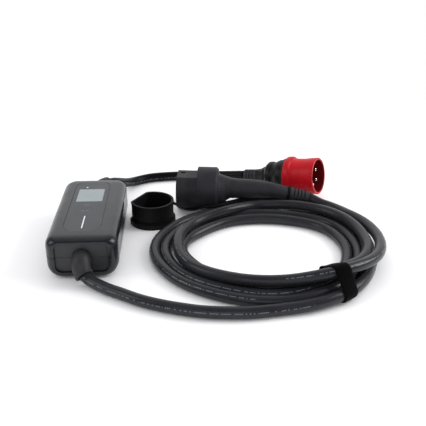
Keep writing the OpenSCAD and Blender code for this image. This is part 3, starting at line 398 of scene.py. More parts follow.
def painted_recess_shade(mat, point, axis, radius, tone):
    """Paints shade into a material nearer to an axis than radius: a bore, or slots, get a dark
    tone for the shade that falls in them.
    """
    nodes, links = nodes_of(mat)
    coord = nodes.new("ShaderNodeTexCoord")
    off = vector_node(nodes, links, "SUBTRACT", coord.outputs["Object"], point)
    cross = vector_node(nodes, links, "CROSS_PRODUCT", off.outputs["Vector"], axis)
    away = vector_node(nodes, links, "LENGTH", cross.outputs["Vector"])
    outside = ramp_between(nodes, links, away.outputs["Value"], radius - RECESS_BLEND, radius)
    return tinted(mat, outside, tone, where=0)


PLUG_RED = (0.50, 0.005, 0.012)
MAT = {
    "case": moulded("case_plastic", (0.0078, 0.0096, 0.0130), 0.27, bump=0.10, mottle=0.06,
                    specular=0.46, coat=0.06, coat_rough=0.12),
    "plate": moulded("end_plate_plastic", (0.030, 0.0305, 0.034), 0.42, bump=0.12,
                     specular=0.4),
    "fascia": moulded("fascia_film", (0.0240, 0.0280, 0.0345), 0.30, bump=0.05, mottle=0.05,
                      specular=0.42),
    "display": moulded("display_glass", (0.25, 0.29, 0.30), 0.22, bump=0.0, mottle=0.05,
                       rough_var=0.02),
    "lamp": moulded("lamp_lens", (0.75, 0.8, 0.8), 0.25, bump=0.0, mottle=0.03),
    "module": moulded("module_plastic", (0.05, 0.06, 0.07), 0.45),
    "board": moulded("board_laminate", (0.02, 0.1, 0.05), 0.4),
    "terminal": moulded("terminal_plastic", (0.12, 0.13, 0.12), 0.5),
    "inner_plastic": moulded("inner_plastic", (0.014, 0.0145, 0.0155), 0.5),
    "screw": moulded("screw_steel", (0.5, 0.51, 0.52), 0.32, metal=1.0),
    "foot": moulded("foot_rubber", (0.012, 0.012, 0.012), 0.8, bump=0.3),
    "seal": moulded("seal_rubber", (0.02, 0.02, 0.021), 0.7, bump=0.3),
    "boot": moulded("boot_rubber", (0.030, 0.030, 0.0340), 0.48, bump=0.3, specular=0.3),
    "grip": moulded("grip_plastic", (0.0275, 0.0265, 0.0315), 0.45, grain=1600.0, bump=0.35,
                    specular=0.15),
    "contact": moulded("contact_metal", (0.75, 0.76, 0.78), 0.18, metal=1.0, bump=0.02,
                       mottle=0.04),
    "cap_rubber": moulded("cap_rubber", (0.0034, 0.0032, 0.0038), 0.6, bump=0.3, specular=0.2),
    "plug_red": moulded("plug_red_plastic", PLUG_RED, 0.36, bump=0.08, mottle=0.06,
                        specular=0.16),
    "ring_grey": moulded("ring_plastic", (0.008, 0.009, 0.009), 0.42, specular=0.3),
    "plug_black": moulded("plug_black_plastic", (0.006, 0.006, 0.007), 0.42, bump=0.2,
                          specular=0.3),
    "strap": textile("strap_textile", (0.0009, 0.0009, 0.001)),
    "cable": cable_sheath("charge_cable_sheath", (0.0205, 0.0205, 0.0248), 0.30),
    "cable_supply": cable_sheath("supply_cable_sheath", (0.0030, 0.0030, 0.0040), 0.38,
                                 print_at=0.42, phase=0.3, specular=0.16),
}


def paint(node, mat):
    for slot in NODES[node].material_slots:
        slot.link = "OBJECT"
        slot.material = mat


for part in frame["record"]["subparts"]:
    paint(part["node"], MAT[part["material_slot"]])


def dress(obj, mat):
    """Gives a piece made here its material and its slot, and fixes it to the body."""
    obj.data.materials.append(mat)
    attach(obj, "root")


# ---------------------------------------------------------------- charge cable
# The same route as in the part's source, in millimetres: the lead, the coil's stations
# (radius and height, turn after turn from the front) and the tail.
CABLE_D, CABLE_SIDES, CABLE_STEP = 0.016, 28, 0.0065
STRAND_R = 8.0      # the cable's radius again, in millimetres
SPLINE = 6          # steps from one point of a route to the next
STATION = 30.0      # degrees between two stations of the coil
FRONT = -90.0       # direction of the first one
COIL_TURNS = 5      # the last one in part
PLATE_Y = 104.5     # the end plates' outer faces
IN_BOOT = 3.9       # how far a cable starts inside its boot
COIL = Vector((262.0, -34.0, 0.0))
# a cable leaves its boot along the last step of the boot's own curve in the source
BOOT_END = Vector((5.0, -PLATE_Y - 20.0, 14.5))
BOOT_AIM = (BOOT_END - Vector((3.375, -123.99, 15.97))).normalized()
LEAD = [BOOT_END - BOOT_AIM * IN_BOOT, (9.5, -127, 11.3), (17, -133.5, 9.3),
        (27, -141.5, 8.5), (40, -151.5, 8.1), (54, -160.5, 8), (80, -178.5, 8),
        (106, -191.5, 8), (131, -201, 8), (157, -208.7, 8), (187, -213, 8), (218, -214, 8),
        (245, -211, 8)]
RADII = [
    174, 168, 153, 148, 145, 145, 165, 139, 152, 166, 165, 159,
    157, 149, 134.5, 128, 124, 111, 108, 117, 135, 150, 150, 143,
    141, 133, 118.5, 111, 104.5, 92.5, 89.5, 95.5, 105.5, 126, 124, 123,
    124, 136, 143.5, 140, 136.5, 127.5, 123.5, 109, 122, 131, 139, 134,
    133, 151, 160.5, 159, 159,
]
HEIGHTS = [
    8, 11.3, 8, 8, 8, 8, 8, 8, 8, 8, 8, 8,
    8, 11.3, 8, 8, 8, 8, 8, 8, 8, 8, 8, 8,
    8, 11.3, 8, 8, 8, 8, 8, 8, 8, 8, 8, 8,
    10, 26.4, 23, 21, 21, 20, 16, 21.5, 17.5, 22.8, 20, 21.5,
    24, 35, 29, 23, 17,
]
# The vehicle connector's own frame starts at its mouth; its grip ends in a bend relief
TURN = rad(-6.6)
MOUTH = Vector((130.5, 129.7, 32.0))
GRIP_END_X, GRIP_END_Z = 186.3, -4.425
RELIEF_LENGTH, RELIEF_DROP = 31.5, rad(9.5)


def smooth_route(points, steps=SPLINE):
    return [Vector(p) for p in catmull(points, steps)]


def coil_point(angle, r, z):
    """A point in millimetres, from its direction and distance from the coil's axis."""
    return COIL + Vector((r * math.cos(rad(angle)), r * math.sin(rad(angle)), z))


def connector(x, y, z):
    """A point of the vehicle connector's own frame, in millimetres of the row's frame."""
    return MOUTH + Vector((x * math.cos(TURN) - y * math.sin(TURN),
                           x * math.sin(TURN) + y * math.cos(TURN), z))


RELIEF_AIM = Vector((math.cos(RELIEF_DROP), 0.0, -math.sin(RELIEF_DROP)))
RELIEF_END = connector(GRIP_END_X + RELIEF_LENGTH * RELIEF_AIM.x, 0,
                       GRIP_END_Z + RELIEF_LENGTH * RELIEF_AIM.z)
# radius, height and direction, SPLINE steps to a station
WINDING = catmull([(r, z, FRONT + STATION * i)
                   for i, (r, z) in enumerate(zip(RADII, HEIGHTS))], SPLINE)
coil = [coil_point(angle, r, z) for r, z, angle in WINDING]
# the lead and the tail are smoothed with a point of the coil beyond where they join it
lead = smooth_route(LEAD + [coil[0], coil[4]])[:-SPLINE - 1]
tail = smooth_route([coil[-4], coil[-1], (391.5, 65.8, 14.5), (379.4, 84.2, 13.5),
                     (364.4, 94.8, 15.5), RELIEF_END])[SPLINE:]
route = resample([p * MM for p in lead + coil[:-1] + tail], CABLE_STEP)
cable_section = circle(CABLE_D / 2, CABLE_SIDES)
charge_cable, charge_length = swept("charge_cable", route, cable_section)
dress(charge_cable, MAT["cable"])
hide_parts("charge_cable_lead", "charge_cable_coil", "charge_cable_tail")

# ---------------------------------------------------------------- supply cable
PLUG, PLUG_LENGTH = Vector((370.0, 147.5, 42.6)), 139
PLUG_RISE, PLUG_TURN = rad(10), rad(-31.3)
PLUG_AXIS = Vector((math.cos(PLUG_RISE) * math.cos(PLUG_TURN),
                    math.cos(PLUG_RISE) * math.sin(PLUG_TURN), math.sin(PLUG_RISE)))
REAR_END = Vector((13.0, PLATE_Y + 40.0, 36.5))
REAR_AIM = (REAR_END - Vector((10.54, 140.6, 37.06))).normalized()
STRAIGHT_IN = 17    # the cable's last stretch, in line with the plug
SUPPLY = [REAR_END - REAR_AIM * IN_BOOT, (20, 156.5, 34.3), (26, 169, 29.5), (32, 184, 23),
          (39.5, 201, 15.5), (49, 217, 10.3), (62, 231, 8), (84, 242, 8), (116, 247, 8),
          (150, 249, 8), (185, 249, 8), (205, 245, 8.8), (222, 237.5, 11.5),
          PLUG - PLUG_AXIS * (PLUG_LENGTH + STRAIGHT_IN), PLUG - PLUG_AXIS * PLUG_LENGTH]
supply_route = resample([p * MM for p in smooth_route(SUPPLY, steps=8)], CABLE_STEP)
supply_cable, supply_length = swept("supply_cable_run", supply_route, cable_section)
dress(supply_cable, MAT["cable_supply"])
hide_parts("supply_cable")

# ---------------------------------------------------------------- tether of the dust cap
CAP_X, CAP_SIDE = 89.8, 33.3
TETHER = [(CAP_X + CAP_SIDE, 71.5, 31.5), (128, 71.5, 29), (132.5, 77, 22.5), (138, 85, 15),
          (145, 92, 10.5), (155, 94.5, 9.2), (165.5, 93, 12), (176, 89, 16.8),
          (187.5, 85.5, 18.2), (196, 88, 19.5), (203.5, 91.5, 19.6), (214, 98, 19.3),
          (226, 104.5, 19), (238, 111, 18.6), (251, 115.5, 18), (264, 116, 17.8),
          (277, 114, 17.6), (290, 112, 17.4), (303, 110, 16.2), connector(182.3, 0, -15.57)]
TETHER_W, TETHER_T = 0.004, 0.00125     # half its width and half its thickness
TETHER_CHAMFER, TETHER_STEP = 0.0006, 0.003
RING_SIDES = 64
# along the relief's neck from the grip's end, and outwards from its axis, in metres
RING_PROFILE = [(-0.0047, 0.0094), (-0.0047, 0.0118), (-0.0042, 0.0123), (-0.0008, 0.0123),
                (-0.0003, 0.0118), (-0.0003, 0.0094), (-0.0047, 0.0094)]

tether_route = resample([p * MM for p in smooth_route(TETHER)], TETHER_STEP)
in_w, in_t = TETHER_W - TETHER_CHAMFER, TETHER_T - TETHER_CHAMFER
tether, tether_length = swept("tether_strap", tether_route, [
    (in_w, TETHER_T), (-in_w, TETHER_T), (-TETHER_W, in_t), (-TETHER_W, -in_t),
    (-in_w, -TETHER_T), (in_w, -TETHER_T), (TETHER_W, -in_t), (TETHER_W, in_t)])
dress(tether, MAT["cap_rubber"])
tether_ring = lathe("tether_ring", RING_PROFILE, RING_SIDES,
                    Matrix.Translation(connector(GRIP_END_X, 0, GRIP_END_Z) * MM)
                    @ Matrix.Rotation(TURN, 4, "Z") @ Matrix.Rotation(RELIEF_DROP, 4, "Y"))
dress(tether_ring, MAT["cap_rubber"])
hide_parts("cap_tether")
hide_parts("cap_tether")

# ---------------------------------------------------------------- strap round the coil
STRAP_AT, STRAP_SPAN = -60, 8.1         # degrees round the coil
STRAP_CLEAR, STRAP_THICK = 0.5, 1.7     # off the strands, and the strap itself
STRAP_LOWEST, STRAP_ROUGH = 0.3, 0.16
EDGE_THINS = 0.45                       # share lost at the long edges
STRAP_ROWS, STRAP_COUNT = 27, 120
FLAP_FROM, FLAP_SPAN = -57.5, 7.0       # degrees round the coil, backwards
FLAP_STRAND = 3                         # it lies on the fourth turn, the upper one
FLAP_LOW, FLAP_PITCH, FLAP_TWIST = 48, 7.0, 10  # degrees round that turn
FLAP_CLEAR, FLAP_CURL, FLAP_THICK = 0.7, 1.5, 1.6
FLAP_ROUGH, FLAP_FRAY = 0.3, 0.25
FLAP_ROWS, FLAP_COUNT = 19, 23


def hull(points):
    """Outline of the smallest convex shape round flat points, anticlockwise."""
    points = sorted(set(points))
    sides = []
    for order in (points, points[::-1]):
        chain = []
        for p in order:
            while len(chain) > 1:
                (ax, ay), (bx, by) = chain[-2:]
                if (bx - ax) * (p[1] - ay) - (by - ay) * (p[0] - ax) > 0:
                    break
                chain.pop()
            chain.append(p)
        sides += chain[:-1]
    return sides


def station(angle):
    """Radius and height of each turn of the cable in one direction from the coil's centre."""
    out = []
    for k in range(COIL_TURNS):
        place = (angle + 360 * k - FRONT) / STATION * SPLINE
        if 0 <= place < len(WINDING) - 1:
            i = int(place)
            a, b, f = WINDING[i], WINDING[i + 1], place - i
            out.append((a[0] * (1 - f) + b[0] * f, a[1] * (1 - f) + b[1] * f))
    return out


def band_outline(angle, grow):
    """The bundle's outline at a distance from its strands, as STRAP_COUNT even points from
    the corner that is lowest and nearest to the coil's centre."""
    around = [(r + (STRAND_R + grow) * math.cos(rad(w)),
               max(z + (STRAND_R + grow) * math.sin(rad(w)), STRAP_LOWEST))
              for r, z in station(angle) for w in range(0, 360, 12)]
    loop = hull([(round(a, 3), round(b, 3)) for a, b in around])
    low = min(range(len(loop)), key=lambda k: loop[k][0] + loop[k][1])
    loop = [Vector((a, b, 0)) for a, b in loop[low:] + loop[:low + 1]]
    return resample(loop, line_length(loop) / STRAP_COUNT)[:STRAP_COUNT]


verts = []
for layer in (0, 1):
    for i in range(STRAP_ROWS):
        f = i / (STRAP_ROWS - 1)
        angle = STRAP_AT + STRAP_SPAN * (f - 0.5)
        # thinner, and a little frayed, along both long edges
        thick = STRAP_THICK * (1 - EDGE_THINS * abs(2 * f - 1) ** 8)
        for k, p in enumerate(band_outline(angle, STRAP_CLEAR + layer * thick)):
            wave = STRAP_ROUGH * layer * noise.noise(Vector((i * 0.9, k * 0.8, 4.0)))
            fray = 0.0
            if i in (0, STRAP_ROWS - 1):
                fray = STRAP_ROUGH * noise.noise(Vector((k * 0.7, 3.0 * f, 9.0)))
            verts.append(MM * coil_point(angle + fray, p.x + wave,
                                         max(p.y + wave, STRAP_LOWEST)))
strap = closed_sheet("strap_band", verts, STRAP_ROWS, STRAP_COUNT, front=1, wraps=True)
dress(strap, MAT["strap"])
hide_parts("cable_strap")

# The strap's free end, which leaves the band along the inner side of the upper strand
verts = []
for layer in (0, 1):
    for i in range(FLAP_ROWS):
        f = i / (FLAP_ROWS - 1)
        angle = FLAP_FROM - FLAP_SPAN * f
        r0, z0 = station(angle)[FLAP_STRAND]
        lift = FLAP_CLEAR + FLAP_CURL * f ** 3
        for k in range(FLAP_COUNT):
            w = rad(FLAP_LOW + FLAP_PITCH * k + FLAP_TWIST * math.sin(2.2 * f))
            d = (STRAND_R + lift + FLAP_THICK * layer
                 + FLAP_ROUGH * noise.noise(Vector((i * 0.6, k * 0.7, layer))))
            fray = 0.0
            if i == FLAP_ROWS - 1:
                fray = FLAP_FRAY * noise.noise(Vector((k * 0.8, 2.0, 5.0)))
            verts.append(MM * coil_point(angle + fray, r0 + d * math.cos(w),
                                         z0 + d * math.sin(w)))
flap = closed_sheet("strap_end", verts, FLAP_ROWS, FLAP_COUNT, front=0, wraps=False)
dress(flap, MAT["strap"])
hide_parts("cable_strap")

# ---------------------------------------------------------------- control box
# The two shells again, with every outer edge rolled over as on the real moulding: the
# plan and the underside run into the end rims on quarter ellipses, the deck on a flatter
# arc with a small round at its end.
BOX_HALF, BOX_END, BOX_TOP, BOX_LOW = 49.0, 107.5, 60.0, 1.6
CASE_WALL, END_WALL = 2.6, 4.0
SEAM_LOW, SEAM_HIGH = 31.6, 32.4
OPEN_HALF, OPEN_LOW, OPEN_TOP, OPEN_R, OPEN_CHAMFER = 36.0, 10.5, 53.5, 9.0, 0.35
PLAN_RUN, PLAN_INSET = 16.0, 11.0       # length before the end, and the change over it:
HEEL_RUN, HEEL_RISE = 9.0, 7.6          # of the plan, the underside and the deck
DECK_RUN, DECK_DROP = 18.0, 5.2
DECK_FRONT, DECK_REAR = 0.80, 0.35      # shares of the drop; it is less at the rear
LIP_RUN, LIP_SHARE = 2.0, 0.20
EDGE_LOW, EDGE_LOW_LOSS = 20.0, 9.5     # radii of the long edges, and their loss at the ends
EDGE_TOP, EDGE_TOP_LOSS = 13.0, 2.0
INNER_END, INNER_MIDDLE = 99.5, 60.0    # loops of the inside
LOOP_POINTS, END_LOOPS, MIDDLE_LOOPS = 84, 12, 11
CREASE = rad(38)
PANEL_X, PANEL_Y, PANEL_HALF_X, PANEL_HALF_Y, PANEL_R = -2.0, 8.0, 26.0, 90.0, 20.0
PANEL_GAP, PANEL_SEAT = 0.55, 58.75
SCREW_HOLES = ((29.0, 90.5), 3.8, 4.9)  # place of one of four, radius, height of its top
FOOT_HOLES = ((23.0, 71.5), 6.8, 2.4)
OUTSIDE_LOW, OUTSIDE_TOP = -1.0, 64.0   # heights clear of the box


def end_share(y, run):
    """0 before the last run of the box's length, and 1 at its end."""
    return min(1.0, max(0.0, abs(y) - (BOX_END - run)) / run)


def rolled(y, run):
    """How far an edge that rolls over on a quarter ellipse has fallen, from 0 to 1."""
    return 1.0 - math.sqrt(1.0 - end_share(y, run) ** 2)


def arched(y, run):
    """The same along a flatter arc."""
    return end_share(y, run) ** 2


def corner(cx, cy, r, start, steps=10):
    return [(cx + r * math.cos(rad(start + 90 * k / steps)),
             cy + r * math.sin(rad(start + 90 * k / steps))) for k in range(steps + 1)]


def half_section(half, low, top, r_low, r_top, upper):
    """The upper or lower half of a rounded section, from its right side to its left, as
    LOOP_POINTS spans of even length."""
    if upper:
        seam = SEAM_HIGH
        line = (corner(half - r_top, top - r_top, r_top, 0)
                + corner(-half + r_top, top - r_top, r_top, 90))
    else:
        seam = SEAM_LOW
        middle = low + r_low
        line = [(x, 2 * middle - z) for x, z in corner(half - r_low, middle, r_low, 0)
                + corner(-half + r_low, middle, r_low, 90)]
    points = [Vector((x, z, 0)) for x, z in [(half, seam)] + line + [(-half, seam)]]
    return resample(points, line_length(points) / LOOP_POINTS)


def case_loops(upper):
    """Loops of the shell: over the outside, through one end opening, back along the inside."""

    def surface(y, inset=0.0):
        plan = rolled(y, PLAN_RUN)
        deck = ((DECK_FRONT if y < 0 else DECK_REAR) * arched(y, DECK_RUN)
                + LIP_SHARE * rolled(y, LIP_RUN))
        line = half_section(BOX_HALF - PLAN_INSET * plan - inset,
                            BOX_LOW + HEEL_RISE * rolled(y, HEEL_RUN) + inset,
                            BOX_TOP - DECK_DROP * deck - inset,
                            EDGE_LOW - EDGE_LOW_LOSS * plan - inset,
                            EDGE_TOP - EDGE_TOP_LOSS * plan - inset, upper)
        return [Vector((p.x, y, p.y)) for p in line]

    def opening(y, grow=0.0):
        line = half_section(OPEN_HALF + grow, OPEN_LOW - grow, OPEN_TOP + grow,
                            OPEN_R + grow, OPEN_R + grow, upper)
        return [Vector((p.x, y, p.y)) for p in line]

    straight = BOX_END - PLAN_RUN
    ends = [straight + PLAN_RUN * math.sin(rad(90 * k / (END_LOOPS - 1)))
            for k in range(END_LOOPS)]
    middle = [straight * (2 * k / (MIDDLE_LOOPS + 1) - 1) for k in range(1, MIDDLE_LOOPS + 1)]
    loops = [surface(y) for y in [-y for y in ends[::-1]] + middle + ends]
    loops += [opening(BOX_END, OPEN_CHAMFER), opening(BOX_END - OPEN_CHAMFER),
              opening(BOX_END - END_WALL)]
    loops += [surface(y, CASE_WALL)
              for y in (INNER_END, INNER_MIDDLE, -INNER_MIDDLE, -INNER_END)]
    loops += [opening(END_WALL - BOX_END), opening(OPEN_CHAMFER - BOX_END),
              opening(-BOX_END, OPEN_CHAMFER)]
    return loops


def closed_shell(name, loops):
    """A solid over loops of points, of which the last runs on to the first. Their first
    points together, and their last points, close it along the parting line."""
    count = len(loops[0])
    verts = [p * MM for loop in loops for p in loop]
    faces = []
    for i in range(len(loops)):
        n = (i + 1) % len(loops)
        for k in range(count - 1):
            faces.append((i * count + k, i * count + k + 1, n * count + k + 1, n * count + k))
    faces.append(tuple(i * count for i in range(len(loops))))
    faces.append(tuple(i * count + count - 1 for i in range(len(loops)))[::-1])
    obj = new_object(name, verts, faces)
    bm = bmesh.new()
    bm.from_mesh(obj.data)
    bmesh.ops.remove_doubles(bm, verts=bm.verts, dist=1e-6)
    bmesh.ops.triangulate(bm, faces=[f for f in bm.faces if len(f.verts) > 4])
    bmesh.ops.recalc_face_normals(bm, faces=bm.faces)
    bm.to_mesh(obj.data)
    bm.free()
    return obj


def prisms(name, solids):
    """Upright solids as one piece, each a flat outline, a lower and an upper height, in
    millimetres."""
    verts, faces = [], []
    for outline, low, high in solids:
        base, n = len(verts), len(outline)
        verts += [Vector((x, y, z)) * MM for z in (low, high) for x, y in outline]
        faces += [tuple(base + k for k in range(n))[::-1],
                  tuple(base + n + k for k in range(n))]
        faces += [(base + k, base + (k + 1) % n, base + n + (k + 1) % n, base + n + k)
                  for k in range(n)]
    return new_object(name, verts, faces, smooth=False)


def rounded_outline(cx, cy, half_x, half_y, r, steps=12):
    return (corner(cx + half_x - r, cy + half_y - r, r, 0, steps)
            + corner(cx - half_x + r, cy + half_y - r, r, 90, steps)
            + corner(cx - half_x + r, cy - half_y + r, r, 180, steps)
            + corner(cx + half_x - r, cy - half_y + r, r, 270, steps))


def four_circles(place, r, sides=32):
    """Outlines of the same circle in the four quarters of the box."""
    return [[(sx * place[0] + a, sy * place[1] + b) for a, b in circle(r, sides)]
            for sx in (-1, 1) for sy in (-1, 1)]


def carve(obj, cutter):
    """Cuts one piece out of another, applies the cut and removes the cutter."""
    mod = obj.modifiers.new("carve", "BOOLEAN")
    mod.object = cutter
    mod.operation = "DIFFERENCE"
    mod.solver = "EXACT"
    graph = bpy.context.evaluated_depsgraph_get()
    done = bpy.data.meshes.new_from_object(obj.evaluated_get(graph), depsgraph=graph)
    obj.modifiers.clear()
    obj.data = done
    bpy.data.objects.remove(cutter)
    done.polygons.foreach_set("use_smooth", [True] * len(done.polygons))
    done.set_sharp_from_angle(angle=CREASE)


case_top = closed_shell("case_upper", case_loops(True))
recess = rounded_outline(PANEL_X, PANEL_Y, PANEL_HALF_X + PANEL_GAP, PANEL_HALF_Y + PANEL_GAP,
                         PANEL_R + PANEL_GAP)
carve(case_top, prisms("cutter", [(recess, PANEL_SEAT, OUTSIDE_TOP)]))
dress(case_top, MAT["case"])
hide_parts("upper_case")
case_low = closed_shell("case_lower", case_loops(False))
carve(case_low, prisms("cutter", [
    (outline, OUTSIDE_LOW, top) for place, r, top in (SCREW_HOLES, FOOT_HOLES)
    for outline in four_circles(place, r)]))
dress(case_low, MAT["case"])
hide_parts("lower_case")

# Front boot: an even bend from the end plate down to the cable, with a ring at its mouth
BOOT_STEP, BOOT_SIDES = 0.8, 36
BOOT_HOLE = Vector((0.0, -PLATE_Y, 31.0))
BOOT_NECK_R, BOOT_NECK_Y = 10.0, (-99.0, -104.3)
BOOT_R, BOOT_TAPER = 13.4, 0.9
MOUTH_RING_R, MOUTH_RING_L, MOUTH_RIM_R = 13.1, 3.4, 12.6
GROOVE_R, GROOVE_END = 11.6, 4.6
BORE = ((0.0, 10.6), (4.0, 10.4))       # depth behind the mouth, and radius
MOUTH_AIM = Vector((0.50, -0.60, -0.62)).normalized()
PULL_OUT, PULL_IN = 14, 12.0            # of the bend, at the plate and at the mouth


def bezier(a, b, c, d, steps=40):
    return [a * (1 - t) ** 3 + b * 3 * t * (1 - t) ** 2 + c * 3 * t * t * (1 - t) + d * t ** 3
            for t in [k / steps for k in range(steps + 1)]]


def boot_radius(i, last):
    """Outer radius at one step of the bend: a slight taper, a groove, the mouth's ring."""
    left = BOOT_STEP * (last - i)
    if i == last:
        return MOUTH_RIM_R
    if left < MOUTH_RING_L:
        return MOUTH_RING_R
    if left < GROOVE_END:
        return GROOVE_R
    return BOOT_R - BOOT_TAPER * min(1.0, i / (last - 4))


bend = resample(bezier(BOOT_HOLE, BOOT_HOLE + Vector((0, -PULL_OUT, 0)),
                       BOOT_END - MOUTH_AIM * PULL_IN, BOOT_END), BOOT_STEP)
frames = frames_along(bend)
loops = [(Vector((0, y, BOOT_HOLE.z)), frames[0], BOOT_NECK_R) for y in BOOT_NECK_Y]
loops += [(q, f, boot_radius(i, len(bend) - 1)) for i, (q, f) in enumerate(zip(bend, frames))]
loops += [(BOOT_END - MOUTH_AIM * back, frames[-1], r) for back, r in BORE]
front_boot = new_object("boot_front_bend", [
    (q + side * a + up * b) * MM for q, (_, side, up), r in loops
    for a, b in circle(r, BOOT_SIDES)], skin(len(loops), BOOT_SIDES))
dress(front_boot, MAT["boot"])
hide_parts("front_boot")

# Plain key marks on the panel, as places, widths and lengths
MARK_LOW, MARK_TOP, MARK_R = 59.75, 59.88, 0.5
MARKS = [(x, 6.0, 1.3, 3.4) for x in (-6.6, -3.6, -0.6)]
MARKS += [(x, y, 4.6, 1.1) for x in (-7.2, -0.8) for y in (-12.6, -15.4)]
key_marks = prisms("key_marks", [
    (rounded_outline(x, y, wide / 2, long / 2, MARK_R, 5), MARK_LOW, MARK_TOP)
    for x, y, wide, long in MARKS])
dress(key_marks, moulded("key_mark_ink", (0.13, 0.135, 0.15), 0.4, bump=0.0, mottle=0.3))

# Seal in the parting line, a little behind the shells' surface
SEAL_END, SEAL_STEPS, SEAL_BACK, SEAL_DEEP = 106.5, 70, 0.35, 1.8
verts, faces = [], []
for side in (1, -1):
    strip = [tuple(len(verts) + k for k in f) for f in skin(SEAL_STEPS + 1, 4)]
    faces += strip if side > 0 else [f[::-1] for f in strip]
    for k in range(SEAL_STEPS + 1):
        y = SEAL_END * (2 * k / SEAL_STEPS - 1)
        x = BOX_HALF - PLAN_INSET * rolled(y, PLAN_RUN) - SEAL_BACK
        verts += [Vector((side * a, y, z)) * MM
                  for a, z in ((x, SEAM_LOW), (x, SEAM_HIGH), (x - SEAL_DEEP, SEAM_HIGH),
                               (x - SEAL_DEEP, SEAM_LOW))]
seal = new_object("case_seal_strip", verts, faces, smooth=False)
dress(seal, MAT["seal"])
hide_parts("case_seal")

# ---------------------------------------------------------------- strap's outline
# the strap's outline round the bundle, halfway through its thickness
loop = band_outline(STRAP_AT, STRAP_CLEAR + STRAP_THICK / 2)

# ---------------------------------------------------------------- painted shade in recesses
# radii inside which shade is painted, in metres: the shroud's bore and the relief's slots
SHROUD_BORE, RELIEF_CORE = 0.0281, 0.0097
# The shroud's own red, with painted shade inside its bore: a dark red where shade falls in the
# mouth.
shroud_red = moulded("plug_shroud_plastic_painted_bore_shade", PLUG_RED, 0.36, bump=0.08, mottle=0.06,
                     specular=0.16)
paint("plug_shroud",
      painted_recess_shade(shroud_red, PLUG * MM, PLUG_AXIS, SHROUD_BORE, (0.13, 0.004, 0.005)))
relief_aim = (connector(*RELIEF_AIM) - MOUTH).normalized()
# The relief's own grey, with painted shade in its slots: near black where shade falls.
ribbed = moulded("relief_plastic_painted_slot_shade", (0.036, 0.035, 0.041), 0.45, grain=1600.0, bump=0.3,
                 specular=0.2)
paint("connector_relief",
      painted_recess_shade(ribbed, RELIEF_END * MM, relief_aim, RELIEF_CORE, (0.002, 0.002, 0.002)))


# ---------------------------------------------------------------- studio
WHITE = (1, 1, 1, 1)
# place, aim, width, height and watts
LIGHTS = {
    "softbox_top": ((0.25, 1.5, 2.4), (0.2, 0.25, 0), 3.4, 2.4, 6),
    "softbox_left": ((-1.7, -0.3, 1.2), (0.1, 0.0, 0), 1.1, 1.3, 9),
    "softbox_right": ((1.9, 0.1, 1.1), (0.3, 0.0, 0), 1.0, 1.2, 20),
    "softbox_front": ((-0.1, -1.8, 0.9), (0.15, 0.0, 0.02), 1.6, 0.8, 5),
}
# colours and the stretch over which one runs into the other, along the view from the
# front, behind the camera, to the back
ROOM = ((0.50, 0.50, 0.52, 1), (1.25, 1.25, 1.27, 1), -0.6, 0.7)
IN_GLOSS = ((0.11, 0.11, 0.125, 1), WHITE, 0.42, 0.85)
FLOOR_MIDDLE, FLOOR_ENDS, BACKDROP_STARTS = (0.2, 0.0, 0.0), 0.5, 1.0


def floor_material():
    """A white floor that runs out into the white backdrop away from the objects."""
    mat = bpy.data.materials.new("studio_floor")
    nodes, links = nodes_of(mat)
    shader = nodes["Principled BSDF"]
    shader.inputs["Base Color"].default_value = (0.98, 0.98, 0.98, 1)
    shader.inputs["Roughness"].default_value = 0.75
    shader.inputs["Specular IOR Level"].default_value = 0.15
    coord = nodes.new("ShaderNodeTexCoord")
    away = vector_node(nodes, links, "DISTANCE", coord.outputs["Object"], FLOOR_MIDDLE)
    ray = nodes.new("ShaderNodeLightPath")
    glow = nodes.new("ShaderNodeEmission")
    glow.inputs["Color"].default_value = WHITE
    blend = nodes.new("ShaderNodeMixShader")
    seen = any_ray(nodes, links, ray, "Camera", "Glossy", "Transmission")
    far = ramp_between(nodes, links, away.outputs["Value"], FLOOR_ENDS, BACKDROP_STARTS)
    links.new(math_node(nodes, links, "MULTIPLY", seen, far), blend.inputs["Fac"])
    links.new(shader.outputs["BSDF"], blend.inputs[1])
    links.new(glow.outputs["Emission"], blend.inputs[2])
    links.new(blend.outputs["Shader"], nodes["Material Output"].inputs["Surface"])
    return mat


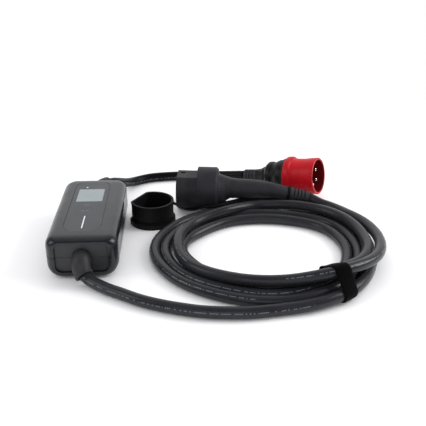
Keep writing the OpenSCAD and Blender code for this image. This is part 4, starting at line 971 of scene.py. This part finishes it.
def area_light(name, place, aim, width, height, watts):
    data = bpy.data.lights.new(name, "AREA")
    data.shape = "RECTANGLE"
    data.size = width
    data.size_y = height
    data.energy = watts
    light = bpy.data.objects.new(name, data)
    bpy.context.scene.collection.objects.link(light)
    light.location = place
    light.rotation_euler = (Vector(aim) - Vector(place)).to_track_quat("-Z", "Y").to_euler()


def studio_world():
    """A dim room that gets lighter to the back, with a white backdrop behind the objects:
    gloss and glass see it there, and the camera sees nothing else."""
    world = bpy.data.worlds.new("studio_world")
    bpy.context.scene.world = world
    world.use_nodes = True
    nodes, links = world.node_tree.nodes, world.node_tree.links
    ray = nodes.new("ShaderNodeLightPath")
    coord = nodes.new("ShaderNodeTexCoord")
    split = nodes.new("ShaderNodeSeparateXYZ")
    links.new(coord.outputs["Generated"], split.inputs["Vector"])

    def mixed(fac, first, second):
        """Two colours, each a value or a socket, mixed by a factor."""
        mix = nodes.new("ShaderNodeMixRGB")
        links.new(fac, mix.inputs["Fac"])
        for key, color in (("Color1", first), ("Color2", second)):
            if isinstance(color, tuple):
                mix.inputs[key].default_value = color
            else:
                links.new(color, mix.inputs[key])
        return mix.outputs["Color"]

    def shade(front, back, low, high):
        return mixed(ramp_between(nodes, links, split.outputs["Y"], low, high), front, back)

    color = mixed(any_ray(nodes, links, ray, "Glossy", "Transmission"), shade(*ROOM),
                  shade(*IN_GLOSS))
    color = mixed(any_ray(nodes, links, ray, "Camera"), color, WHITE)
    links.new(color, nodes["Background"].inputs["Color"])
    nodes["Background"].inputs["Strength"].default_value = 1.0


floor = new_object("studio_floor", [(-9, -7, 0), (9, -7, 0), (9, 14, 0), (-9, 14, 0)],
                   [(0, 1, 2, 3)], smooth=False)
floor.data.materials.append(floor_material())
floor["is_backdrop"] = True
for name, values in LIGHTS.items():
    area_light(name, *values)
studio_world()


def as_lists(value):
    if isinstance(value, (int, float)):
        return float(value)
    return [as_lists(v) for v in value]


{"at_load": as_lists(SIZE_AT_LOAD), "at_finish": as_lists(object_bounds())}
